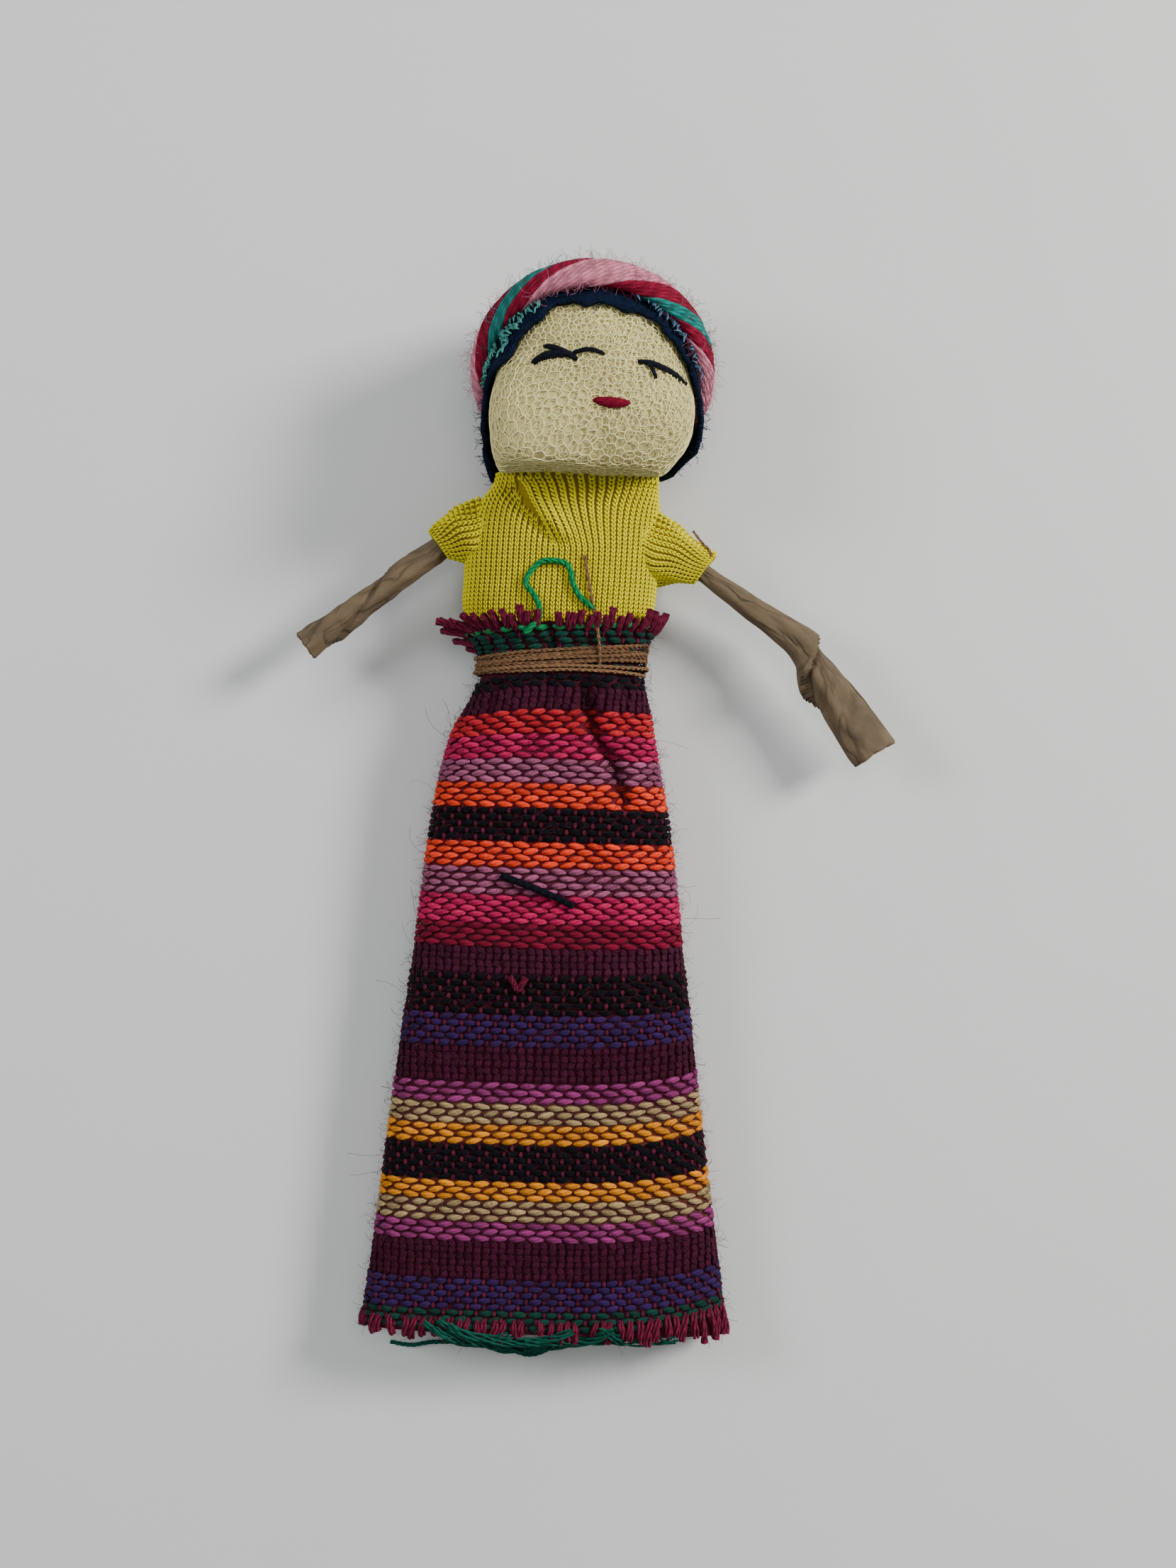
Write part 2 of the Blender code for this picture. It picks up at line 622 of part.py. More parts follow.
def make_arm(side, arm, shoulder):
    upper, lower, swing, elbow = arm_frame(arm, shoulder)
    shoulder_hub = joint_empty(side + "_shoulder_joint", shoulder)
    swing_hub = joint_empty(side + "_arm_joint", swing, shoulder_hub)
    elbow_hub = joint_empty(side + "_elbow_joint", elbow, swing_hub)

    rim = 0.6 * MM
    root_radius = math.sqrt(SLEEVE_BALL**2 - rim**2)
    sleeve_table = [(-rim, root_radius), (rim, root_radius),
                    (0.55 * arm["cuff"], (root_radius + CUFF_RADIUS) / 2),
                    (arm["cuff"], CUFF_RADIUS)]

    def sleeve_section(s):
        radius = along(sleeve_table, s)[0]
        return 0.0, 0.0, radius, radius, 2.0

    sleeve = add_piece(side + "_sleeve",
                       loft(sleeve_section, evenly(-rim, arm["cuff"], 6), upper, sides=20),
                       yellow_jersey, shoulder, shoulder_hub)
    add_wall(sleeve, SLEEVE_WALL)
    stub_end = (swing - shoulder).length - BEND_SETBACK
    thread(side + "_shoulder_wire",
           evenly_between(shoulder + upper * 0.9 * MM, shoulder + upper * stub_end, 3),
           WIRE_RADIUS, wire, shoulder_hub)

    upper_length = (elbow - swing).length - BEND_SETBACK

    def upper_section(s):
        radius = along([(0.0, PAPER_RADIUS), (0.5 * upper_length, PAPER_RADIUS + 0.1 * MM),
                        (upper_length, PAPER_RADIUS + 0.2 * MM)], s)[0]
        return 0.0, 0.0, radius, radius, 2.0

    paper = add_piece(side + "_upper_arm_paper",
                      loft(upper_section, evenly(0.0, upper_length, 5), upper, sides=14),
                      kraft_paper, swing, swing_hub)
    add_wall(paper, PAPER_WALL)
    wire_end = upper_length - 0.3 * MM
    thread(side + "_upper_arm_wire",
           evenly_between(swing + upper * 0.3 * MM, swing + upper * wire_end, 4),
           WIRE_RADIUS, wire, swing_hub)

    def lower_section(s):
        width, depth = along([(0.0, PAPER_RADIUS, PAPER_RADIUS),
                              (0.35 * arm["forearm"], PAPER_RADIUS + 0.2 * MM, PAPER_RADIUS),
                              (arm["forearm"], arm["hand_width"], arm["hand_depth"])], s)
        return 0.0, 0.0, width, depth, 2.0

    forearm = add_piece(side + "_forearm_paper",
                        loft(lower_section, evenly(0.0, arm["forearm"], 7), lower, sides=14),
                        kraft_paper, elbow, elbow_hub)
    add_wall(forearm, PAPER_WALL)
    thread(side + "_forearm_wire",
           evenly_between(elbow + lower * 0.4 * MM, elbow + lower * (arm["forearm"] - 1.0 * MM), 4),
           WIRE_RADIUS, wire, elbow_hub)
    return shoulder_hub


def make_cuff_tail(hub, shoulder):
    across = Vector((0.58, 0.81, 0))
    out = Vector((0.81, -0.58, 0))
    start = shoulder + out * 4.6 * MM + across * (CUFF_RADIUS + 0.9 * MM)
    route = [start, start + across * 1.6 * MM - out * 1.0 * MM + UP * 0.5 * MM,
             start + across * 3.0 * MM - out * 2.4 * MM + UP * 1.2 * MM]
    thread("left_cuff_tail", smooth_route(route, 3), TAIL_RADIUS, brown_thread, hub)


# ---------------------------------------------------------------- build
clear_scene()
doll = new_collection("cloth_doll")
cutters = new_collection("cutters")

wood = material("birch_wood", (0.72, 0.55, 0.36), 0.7)
wire = material("dark_wire", (0.10, 0.09, 0.09), 0.45, 0.8)
stuffing = material("cream_stuffing", (0.80, 0.74, 0.55), 0.95)
yellow_jersey = material("yellow_jersey", (0.80, 0.66, 0.03), 0.9)
striped_cloth = material("striped_cloth", (0.36, 0.03, 0.12), 0.9)
net_cloth = material("cream_net", (0.80, 0.74, 0.52), 0.9)
navy_cloth = material("navy_hair_cloth", (0.02, 0.04, 0.13), 0.95)
pink_yarn = material("pink_yarn", (0.66, 0.22, 0.29), 0.85)
red_yarn = material("red_yarn", (0.50, 0.01, 0.05), 0.85)
teal_yarn = material("teal_yarn", (0.01, 0.30, 0.28), 0.85)
kraft_paper = material("kraft_paper", (0.30, 0.18, 0.10), 0.8)
brown_thread = material("tan_thread", (0.42, 0.20, 0.10), 0.8)
green_yarn = material("green_yarn", (0.01, 0.32, 0.06), 0.85)
dark_green_yarn = material("dark_green_yarn", (0.0, 0.08, 0.05), 0.85)
black_thread = material("black_thread", (0.01, 0.01, 0.015), 0.8)
red_thread = material("red_thread", (0.38, 0.01, 0.05), 0.8)

right_x = -(CHEST_HALF_WIDTH + SHOULDER_OUT)
left_x = CHEST_HALF_WIDTH + SHOULDER_OUT
shoulder_places = [Vector((right_x, TIE_Y + ARMS["right"]["height"], SHOULDER_Z)),
                   Vector((left_x, TIE_Y + ARMS["left"]["height"], SHOULDER_Z))]

make_stick()
make_torso(shoulder_places)
make_shoulder_wire(shoulder_places)
make_skirt()
make_waist_thread()
make_front_threads()
make_hem_thread()
neck_hub = joint_empty("neck_joint", NECK_TURN)
head_hub = joint_empty("head_joint", NECK_NOD, neck_hub)
make_neck(neck_hub)
make_head(head_hub)
make_headband(head_hub)
make_face(head_hub)
make_arm("right", ARMS["right"], shoulder_places[0])
left_hub = make_arm("left", ARMS["left"], shoulder_places[1])
make_cuff_tail(left_hub, shoulder_places[1])
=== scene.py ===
import json
import math
import random

import bmesh
import bpy
import numpy as np
from mathutils import Matrix, Vector, noise
from mathutils.bvhtree import BVHTree

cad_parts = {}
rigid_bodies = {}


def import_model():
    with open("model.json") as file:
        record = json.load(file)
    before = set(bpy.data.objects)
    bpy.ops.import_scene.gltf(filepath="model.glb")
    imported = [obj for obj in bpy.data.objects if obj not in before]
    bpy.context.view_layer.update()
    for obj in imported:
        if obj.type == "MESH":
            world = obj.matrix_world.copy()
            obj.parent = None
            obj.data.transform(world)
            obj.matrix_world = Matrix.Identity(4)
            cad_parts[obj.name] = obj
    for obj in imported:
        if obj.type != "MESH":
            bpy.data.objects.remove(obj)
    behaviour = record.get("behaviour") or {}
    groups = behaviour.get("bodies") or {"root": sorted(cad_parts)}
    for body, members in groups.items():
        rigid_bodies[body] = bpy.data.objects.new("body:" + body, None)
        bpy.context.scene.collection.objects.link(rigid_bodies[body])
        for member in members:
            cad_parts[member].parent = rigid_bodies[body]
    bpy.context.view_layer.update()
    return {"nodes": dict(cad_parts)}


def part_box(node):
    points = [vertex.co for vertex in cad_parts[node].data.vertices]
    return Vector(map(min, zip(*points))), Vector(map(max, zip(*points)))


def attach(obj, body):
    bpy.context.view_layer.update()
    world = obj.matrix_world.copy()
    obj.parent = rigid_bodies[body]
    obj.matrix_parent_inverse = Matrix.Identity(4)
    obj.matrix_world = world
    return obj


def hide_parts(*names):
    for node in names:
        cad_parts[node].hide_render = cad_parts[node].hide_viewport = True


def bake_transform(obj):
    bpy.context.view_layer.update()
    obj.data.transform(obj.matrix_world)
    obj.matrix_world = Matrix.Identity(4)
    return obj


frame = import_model()
mm = 0.001  # every size below is in mm unless its name says otherwise
print("doll: frame loaded")


# camera, hanging straight over the doll
overhead = {"x": 4.2, "y": 4.1, "height": 311.0, "roll": 1.475, "lens": 50.0, "film": 36.0,
            "nearest": 0.01, "farthest": 10.0}  # x, y, height and lens in mm, the last two in metres

lens = bpy.data.cameras.new("overheadCamera")
lens.lens, lens.sensor_width = overhead["lens"], overhead["film"]
lens.clip_start, lens.clip_end = overhead["nearest"], overhead["farthest"]
camera = bpy.data.objects.new("overheadCamera", lens)
camera.location = (overhead["x"] * mm, overhead["y"] * mm, overhead["height"] * mm)
camera.rotation_euler = (0, 0, math.radians(overhead["roll"]))
bpy.context.collection.objects.link(camera)
bpy.context.scene.camera = camera


# small helpers for numbers, nodes and meshes
def clamp(value):
    return max(0.0, min(1.0, value))


def feed(tree, socket, value):
    if value is None:
        return
    if isinstance(value, bpy.types.NodeSocket):
        tree.links.new(value, socket)
    else:
        socket.default_value = value


def node(tree, kind, inputs=None, **settings):
    made = tree.nodes.new(kind)
    for key, value in settings.items():
        setattr(made, key, value)
    for key, value in (inputs or {}).items():
        feed(tree, made.inputs[key], value)
    return made


def calc(tree, operation, *values):
    made = node(tree, "ShaderNodeMath", operation=operation)
    for socket, value in zip(made.inputs, values):
        feed(tree, socket, value)
    return made.outputs[0]


def vecCalc(tree, operation, *values, scale=None):
    made = node(tree, "ShaderNodeVectorMath", operation=operation)
    for socket, value in zip(made.inputs, values):
        feed(tree, socket, value)
    if scale is not None:
        feed(tree, made.inputs["Scale"], scale)
    return made.outputs[0]


def marked(tree, name, output="Fac"):  # a value stored on the piece's own points
    return node(tree, "ShaderNodeAttribute", attribute_name=name).outputs[output]


def objectPlace(tree):
    return node(tree, "ShaderNodeTexCoord").outputs["Object"]


def startTree(name, kind, inputs, outputs):
    tree = bpy.data.node_groups.new(name, kind)
    for label, socketType, value in inputs:
        socket = tree.interface.new_socket(label, in_out="INPUT", socket_type="NodeSocket" + socketType)
        if value is not None:
            socket.default_value = value
    for label, socketType in outputs:
        tree.interface.new_socket(label, in_out="OUTPUT", socket_type="NodeSocket" + socketType)
    return tree, tree.nodes.new("NodeGroupInput"), tree.nodes.new("NodeGroupOutput")


def grow(name, source, tree, values):  # runs a geometry tree and keeps its result as a plain mesh
    holder = bpy.data.objects.new(name + "Source", source)
    bpy.context.collection.objects.link(holder)
    modifier = holder.modifiers.new("grow", "NODES")
    modifier.node_group = tree
    sockets = {s.name: s.identifier for s in tree.interface.items_tree
               if s.item_type == "SOCKET" and s.in_out == "INPUT"}
    for label, value in values.items():
        modifier[sockets[label]] = value
    bpy.context.view_layer.update()
    depsgraph = bpy.context.evaluated_depsgraph_get()
    mesh = bpy.data.meshes.new_from_object(holder.evaluated_get(depsgraph), depsgraph=depsgraph)
    bpy.data.objects.remove(holder)
    mesh.name = name
    piece = bpy.data.objects.new(name, mesh)
    bpy.context.collection.objects.link(piece)
    return piece


def meshPiece(name, points, faces, finish=None, smooth=True):
    mesh = bpy.data.meshes.new(name)
    mesh.from_pydata([tuple(p) for p in points], [], faces)
    if finish:
        mesh.materials.append(finish)
    if smooth:
        mesh.shade_smooth()
    piece = bpy.data.objects.new(name, mesh)
    bpy.context.collection.objects.link(piece)
    return piece


def quadRows(rings, columns, turned=False):  # faces of a tube laid out ring by ring
    faces = []
    for r in range(rings - 1):
        for c in range(columns):
            d = (c + 1) % columns
            a, b = r * columns, (r + 1) * columns
            faces.append((a + c, b + c, b + d, a + d) if turned else (a + c, a + d, b + d, b + c))
    return faces


def markPoints(mesh, kind="FLOAT", field="value", **columns):
    for label, values in columns.items():
        store = mesh.attributes.new(label, kind, "POINT")
        store.data.foreach_set(field, np.array(values, np.float32).ravel())


def turnOutward(piece, looksIn=None):  # looksIn says whether the faces came out the wrong way
    shape = bmesh.new()
    shape.from_mesh(piece.data)
    bmesh.ops.recalc_face_normals(shape, faces=shape.faces[:])
    shape.faces.ensure_lookup_table()
    if looksIn and looksIn(shape.faces):
        bmesh.ops.reverse_faces(shape, faces=shape.faces[:])
    shape.to_mesh(piece.data)
    shape.free()
    piece.data.shade_smooth()


def treeOf(*pieces):  # for dropping threads on the surface of these pieces
    points, faces = [], []
    for piece in pieces:
        faces += [tuple(len(points) + i for i in p.vertices) for p in piece.data.polygons]
        points += [v.co for v in piece.data.vertices]
    return BVHTree.FromPolygons(points, faces)


def linear(red, green, blue):
    return tuple((c / 255 / 12.92) if c < 10.3 else ((c / 255 + 0.055) / 1.055) ** 2.4
                 for c in (red, green, blue)) + (1.0,)


# geometry trees: yarn bundles, cover stitches, netting, stray fibres
def yarnBundleTree():
    tree, entry, exit = startTree("yarnBundle", "GeometryNodeTree", [
        ("Geometry", "Geometry", None), ("Strands", "Int", 3), ("First Angle", "Float", 0.0),
        ("Sweep", "Float", 6.2832), ("Radial", "Float", 0.0002), ("Across", "Float", 0.0002),
        ("Twist", "Float", 0.0), ("Strand Radius", "Float", 0.0002), ("Sides", "Int", 6),
        ("Centre", "Vector", (0, 0, -1)), ("Wobble", "Float", 0.0001), ("Step", "Float", 0.0006),
        ("Finish", "Material", None)], [("Geometry", "Geometry")])
    into = entry.outputs
    even = node(tree, "GeometryNodeResampleCurve", {"Curve": into["Geometry"], "Length": into["Step"]},
                mode="LENGTH")
    copies = node(tree, "GeometryNodeDuplicateElements",
                  {"Geometry": even.outputs[0], "Amount": into["Strands"]}, domain="SPLINE")
    copyIndex = copies.outputs["Duplicate Index"]
    place = node(tree, "GeometryNodeInputPosition").outputs[0]
    tangent = node(tree, "GeometryNodeInputTangent").outputs[0]
    run = node(tree, "GeometryNodeSplineParameter").outputs["Length"]
    outward = vecCalc(tree, "NORMALIZE", vecCalc(tree, "SUBTRACT", place, into["Centre"]))
    across = vecCalc(tree, "NORMALIZE", vecCalc(tree, "CROSS_PRODUCT", tangent, outward))
    radial = vecCalc(tree, "CROSS_PRODUCT", across, tangent)
    share = calc(tree, "DIVIDE", copyIndex, into["Strands"])
    angle = calc(tree, "ADD", calc(tree, "ADD", into["First Angle"],
                                   calc(tree, "MULTIPLY", share, into["Sweep"])),
                 calc(tree, "MULTIPLY", run, into["Twist"]))
    lift = vecCalc(tree, "SCALE", radial,
                   scale=calc(tree, "MULTIPLY", into["Radial"], calc(tree, "COSINE", angle)))
    aside = vecCalc(tree, "SCALE", across,
                    scale=calc(tree, "MULTIPLY", into["Across"], calc(tree, "SINE", angle)))
    drift = node(tree, "ShaderNodeTexNoise",
                 {"Vector": vecCalc(tree, "ADD", place,
                                    vecCalc(tree, "SCALE", (0.31, 0.17, 0.23), scale=copyIndex)),
                  "Scale": 260.0, "Detail": 1.0})
    wander = vecCalc(tree, "SCALE", vecCalc(tree, "SUBTRACT", drift.outputs["Color"], (0.5, 0.5, 0.5)),
                     scale=into["Wobble"])
    moved = node(tree, "GeometryNodeSetPosition",
                 {"Geometry": copies.outputs["Geometry"],
                  "Offset": vecCalc(tree, "ADD", vecCalc(tree, "ADD", lift, aside), wander)})
    tone = node(tree, "FunctionNodeRandomValue", {"ID": copyIndex, "Seed": 3}, data_type="FLOAT")
    toned = node(tree, "GeometryNodeStoreNamedAttribute",
                 {"Geometry": moved.outputs[0], "Name": "tone", "Value": tone.outputs["Value"]},
                 data_type="FLOAT", domain="CURVE")
    measured = node(tree, "GeometryNodeStoreNamedAttribute",
                    {"Geometry": toned.outputs[0], "Name": "along",
                     "Value": node(tree, "GeometryNodeSplineParameter").outputs["Length"]},
                    data_type="FLOAT", domain="POINT")
    ring = node(tree, "GeometryNodeCurvePrimitiveCircle",
                {"Resolution": into["Sides"], "Radius": into["Strand Radius"]})
    ringMark = node(tree, "GeometryNodeStoreNamedAttribute",
                    {"Geometry": ring.outputs[0], "Name": "around",
                     "Value": node(tree, "GeometryNodeSplineParameter").outputs["Factor"]},
                    data_type="FLOAT", domain="POINT")
    tube = node(tree, "GeometryNodeCurveToMesh",
                {"Curve": measured.outputs[0], "Profile Curve": ringMark.outputs[0],
                 "Fill Caps": True})
    finishTree(tree, tube.outputs[0], into["Finish"], exit)
    return tree


def finishTree(tree, geometry, finish, exit):  # every tree ends the same way
    soft = node(tree, "GeometryNodeSetShadeSmooth", {"Geometry": geometry})
    real = node(tree, "GeometryNodeRealizeInstances", {"Geometry": soft.outputs[0]})
    painted = node(tree, "GeometryNodeSetMaterial", {"Geometry": real.outputs[0], "Material": finish})
    tree.links.new(painted.outputs[0], exit.inputs[0])


def namedVector(tree, name):
    return node(tree, "GeometryNodeInputNamedAttribute", {"Name": name},
                data_type="FLOAT_VECTOR").outputs["Attribute"]


def coverTree():
    tree, entry, exit = startTree("clothCover", "GeometryNodeTree", [
        ("Geometry", "Geometry", None), ("Stitch", "Object", None), ("Finish", "Material", None)],
        [("Geometry", "Geometry")])
    into = entry.outputs
    stitch = node(tree, "GeometryNodeObjectInfo", {"Object": into["Stitch"], "As Instance": True})
    turn = node(tree, "FunctionNodeEulerToRotation", {0: namedVector(tree, "turn")})
    laid = node(tree, "GeometryNodeInstanceOnPoints",
                {"Points": into["Geometry"], "Instance": stitch.outputs["Geometry"],
                 "Rotation": turn.outputs[0], "Scale": namedVector(tree, "size")})
    finishTree(tree, laid.outputs[0], into["Finish"], exit)
    return tree


def nettingTree():
    tree, entry, exit = startTree("netting", "GeometryNodeTree", [
        ("Geometry", "Geometry", None), ("Thread Radius", "Float", 0.00007), ("Sides", "Int", 4),
        ("Finish", "Material", None)], [("Geometry", "Geometry")])
    into = entry.outputs
    cells = node(tree, "GeometryNodeDualMesh", {"Mesh": into["Geometry"]})
    lines = node(tree, "GeometryNodeMeshToCurve", {"Mesh": cells.outputs[0]})
    ring = node(tree, "GeometryNodeCurvePrimitiveCircle",
                {"Resolution": into["Sides"], "Radius": into["Thread Radius"]})
    tube = node(tree, "GeometryNodeCurveToMesh",
                {"Curve": lines.outputs[0], "Profile Curve": ring.outputs[0]})
    finishTree(tree, tube.outputs[0], into["Finish"], exit)
    return tree


def strayFibreTree():
    tree, entry, exit = startTree("strayFibres", "GeometryNodeTree", [
        ("Geometry", "Geometry", None), ("Density", "Float", 1000000.0), ("Length", "Float", 0.001),
        ("Thickness", "Float", 0.00002), ("Lean", "Float", 1.0), ("Seed", "Int", 1),
        ("Finish", "Material", None)], [("Geometry", "Geometry")])
    into = entry.outputs
    spots = node(tree, "GeometryNodeDistributePointsOnFaces",
                 {"Mesh": into["Geometry"], "Density": into["Density"], "Seed": into["Seed"]})
    hair = node(tree, "GeometryNodeCurvePrimitiveBezierSegment",
                {"Resolution": 4, "Start": (0, 0, -0.1), "Start Handle": (0, 0.1, 0.4),
                 "End Handle": (0.3, 0.3, 0.75), "End": (0.75, 0.1, 0.7)}, mode="POSITION")
    ring = node(tree, "GeometryNodeCurvePrimitiveCircle", {"Resolution": 3, "Radius": 1.0})
    slim = calc(tree, "DIVIDE", into["Thickness"], into["Length"])
    slimness = node(tree, "ShaderNodeCombineXYZ", {0: slim, 1: slim, 2: slim})
    thinRing = node(tree, "GeometryNodeTransform",
                    {"Geometry": ring.outputs[0], "Scale": slimness.outputs[0]})
    thin = node(tree, "GeometryNodeCurveToMesh",
                {"Curve": hair.outputs[0], "Profile Curve": thinRing.outputs[0]})
    lean = node(tree, "FunctionNodeRandomValue", {"Seed": into["Seed"]}, data_type="FLOAT_VECTOR")
    leanest = node(tree, "ShaderNodeCombineXYZ", {0: into["Lean"], 1: into["Lean"], 2: 1.0}).outputs[0]
    for socket, sign in zip(lean.inputs[:2], (-1.0, 1.0)):
        feed(tree, socket, vecCalc(tree, "MULTIPLY", (sign, sign, sign * 3.14159), leanest))
    leant = node(tree, "FunctionNodeRotateRotation",
                 {"Rotation": spots.outputs["Rotation"],
                  "Rotate By": node(tree, "FunctionNodeEulerToRotation",
                                    {0: lean.outputs[0]}).outputs[0]}, rotation_space="LOCAL")
    long = node(tree, "FunctionNodeRandomValue", {"Seed": 9}, data_type="FLOAT")
    feed(tree, long.inputs[2], 0.35)
    feed(tree, long.inputs[3], 1.35)
    laid = node(tree, "GeometryNodeInstanceOnPoints",
                {"Points": spots.outputs["Points"], "Instance": thin.outputs[0],
                 "Rotation": leant.outputs[0],
                 "Scale": calc(tree, "MULTIPLY", long.outputs[1], into["Length"])})
    finishTree(tree, laid.outputs[0], into["Finish"], exit)
    return tree


yarnBundle, clothCover = yarnBundleTree(), coverTree()
netting, strayFibres = nettingTree(), strayFibreTree()


# finishes
def yarnLookGroup():
    tree, entry, exit = startTree("yarnLook", "ShaderNodeTree", [
        ("Colour", "Color", (0.5, 0.5, 0.5, 1)), ("Twist", "Float", 3000.0), ("Plies", "Float", 3.0),
        ("Ply Depth", "Float", 0.3), ("Fibre Scale", "Float", 2600.0), ("Fibre Depth", "Float", 0.3),
        ("Fade", "Float", 0.2)],
        [("Colour", "Color"), ("Roughness", "Float"), ("Height", "Float")])
    into = entry.outputs
    along, around, tone = (marked(tree, name) for name in ("along", "around", "tone"))
    place = objectPlace(tree)
    turns = calc(tree, "MULTIPLY", around, into["Plies"])
    ply = calc(tree, "ADD", calc(tree, "MULTIPLY", turns, 6.28319),
               calc(tree, "MULTIPLY", along, into["Twist"]))
    groove = calc(tree, "MULTIPLY_ADD", calc(tree, "SINE", ply), 0.5, 0.5)
    fibre = node(tree, "ShaderNodeTexNoise", {"Vector": place, "Scale": into["Fibre Scale"],
                                              "Detail": 3.0, "Roughness": 0.65})
    cloud = node(tree, "ShaderNodeTexNoise", {"Vector": place, "Scale": 320.0, "Detail": 2.0})
    height = calc(tree, "ADD", calc(tree, "MULTIPLY", groove, into["Ply Depth"]),
                  calc(tree, "MULTIPLY", fibre.outputs["Fac"], into["Fibre Depth"]))
    # darker in the grooves between the plies: painted shade
    shade = calc(tree, "ADD",
                 calc(tree, "MULTIPLY", groove, calc(tree, "MULTIPLY", into["Ply Depth"], 0.8)),
                 calc(tree, "SUBTRACT", 1.0, calc(tree, "MULTIPLY", into["Ply Depth"], 0.5)))
    speck = calc(tree, "MULTIPLY_ADD", calc(tree, "SUBTRACT", fibre.outputs["Fac"], 0.5),
                 calc(tree, "MULTIPLY", into["Fibre Depth"], 2.2), 1.0)
    patch = calc(tree, "MULTIPLY_ADD", calc(tree, "SUBTRACT", cloud.outputs["Fac"], 0.5),
                 into["Fade"], 1.0)
    own = calc(tree, "MULTIPLY_ADD", calc(tree, "SUBTRACT", tone, 0.5), into["Fade"], 1.0)
    level = calc(tree, "MULTIPLY", calc(tree, "MULTIPLY", shade, speck),
                 calc(tree, "MULTIPLY", patch, own))
    tinted = vecCalc(tree, "SCALE", into["Colour"], scale=level)
    tree.links.new(tinted, exit.inputs["Colour"])
    feed(tree, exit.inputs["Roughness"], calc(tree, "MULTIPLY_ADD", fibre.outputs["Fac"], 0.25, 0.7))
    tree.links.new(height, exit.inputs["Height"])
    return tree


yarnLook = yarnLookGroup()


def newFinish(name):
    made = bpy.data.materials.new(name)
    made.use_nodes = True
    shader = made.node_tree.nodes["Principled BSDF"]
    return made, made.node_tree, shader


def softShader(shader, sheen, tint):
    shader.inputs["Specular IOR Level"].default_value = 0.1
    shader.inputs["Sheen Weight"].default_value = sheen
    shader.inputs["Sheen Roughness"].default_value = 0.45
    shader.inputs["Sheen Tint"].default_value = tint


def yarnFinish(name, colour=None, attribute=None, twist=3000.0, plies=3.0, plyDepth=0.3,
               fibreScale=2600.0, fibreDepth=0.3, fade=0.25, bump=0.00012, sheen=0.12):
    made, tree, shader = newFinish(name)
    look = node(tree, "ShaderNodeGroup", node_tree=yarnLook)
    if attribute:
        tree.links.new(marked(tree, attribute, "Color"), look.inputs["Colour"])
    else:
        look.inputs["Colour"].default_value = colour
    for label, value in (("Twist", twist), ("Plies", plies), ("Ply Depth", plyDepth),
                         ("Fibre Scale", fibreScale), ("Fibre Depth", fibreDepth), ("Fade", fade)):
        look.inputs[label].default_value = value
    tree.links.new(look.outputs["Colour"], shader.inputs["Base Color"])
    tree.links.new(look.outputs["Roughness"], shader.inputs["Roughness"])
    dent = node(tree, "ShaderNodeBump", {"Height": look.outputs["Height"], "Distance": bump,
                                         "Strength": 0.9})
    tree.links.new(dent.outputs[0], shader.inputs["Normal"])
    softShader(shader, sheen, (colour or (0.6, 0.6, 0.6, 1)))
    return made


# colours as dyed, before light falls on them, except jerseyShade, which is painted shade
dyes = {
    # skirt cloth, top stripe first
    "charcoal": (7, 9, 16), "plum": (54, 11, 34), "coral": (164, 28, 38),
    "magenta": (160, 20, 70), "lilac": (134, 70, 98), "orange": (208, 54, 28),
    "black": (5, 4, 11), "crimson": (106, 10, 39), "violet": (40, 19, 64), "maroon": (52, 6, 31),
    "orchid": (119, 42, 91), "beige": (142, 120, 84), "gold": (194, 119, 18),
    "deepGreen": (8, 50, 42), "warp": (90, 19, 43), "dot": (74, 18, 38),
    # threads and yarns
    "strand": (9, 74, 60), "leafGreen": (16, 112, 62), "tan": (114, 84, 59),
    "pink": (172, 106, 122), "red": (106, 12, 37), "teal": (22, 104, 98), "fleck": (84, 164, 154),
    "sky": (96, 128, 160), "ink": (10, 12, 22), "mouth": (98, 5, 30),
    # the rest; jerseyShade is painted shade for the gaps between the knit stitches
    "yellow": (207, 196, 11), "jerseyShade": (140, 118, 8), "kraft": (94, 78, 57),
    "net": (221, 212, 154), "pad": (200, 188, 130), "navy": (12, 32, 62),
    "birch": (205, 178, 136), "steel": (44, 42, 44),
}
dye = {name: linear(*value) for name, value in dyes.items()}

clothFinish = yarnFinish("striped_cloth", attribute="yarnColour", twist=8.0, plies=4.0, plyDepth=0.4,
                         fibreScale=4200.0, fibreDepth=0.5, fade=0.4, bump=0.0002, sheen=0.02)
jerseyFinish = yarnFinish("yellow_jersey", colour=dye["yellow"], twist=0.0, plies=3.0, plyDepth=0.2,
                          fibreScale=3800.0, fibreDepth=0.25, fade=0.15, sheen=0.15)
netFinish = yarnFinish("cream_net", colour=dye["net"], plyDepth=0.0, fibreDepth=0.2, fade=0.15,
                       bump=0.00004, sheen=0.1)
padFinish = yarnFinish("cream_stuffing", colour=dye["pad"], plyDepth=0.0, fibreScale=1400.0,
                       fibreDepth=0.35, fade=0.35, bump=0.0002, sheen=0.2)
hairFinish = yarnFinish("navy_hair_cloth", colour=dye["navy"], plyDepth=0.0, fibreScale=1900.0,
                        fibreDepth=0.9, fade=1.1, bump=0.001, sheen=0.12)
# reads the sheet's yarnColour, so the skirt's fibres take the warp colour with its painted gap shade
fuzzFinish = yarnFinish("dyed_fuzz_painted_shade", attribute="yarnColour", plyDepth=0.0, fade=0.2, bump=0.00001)
threadFinishes = {}
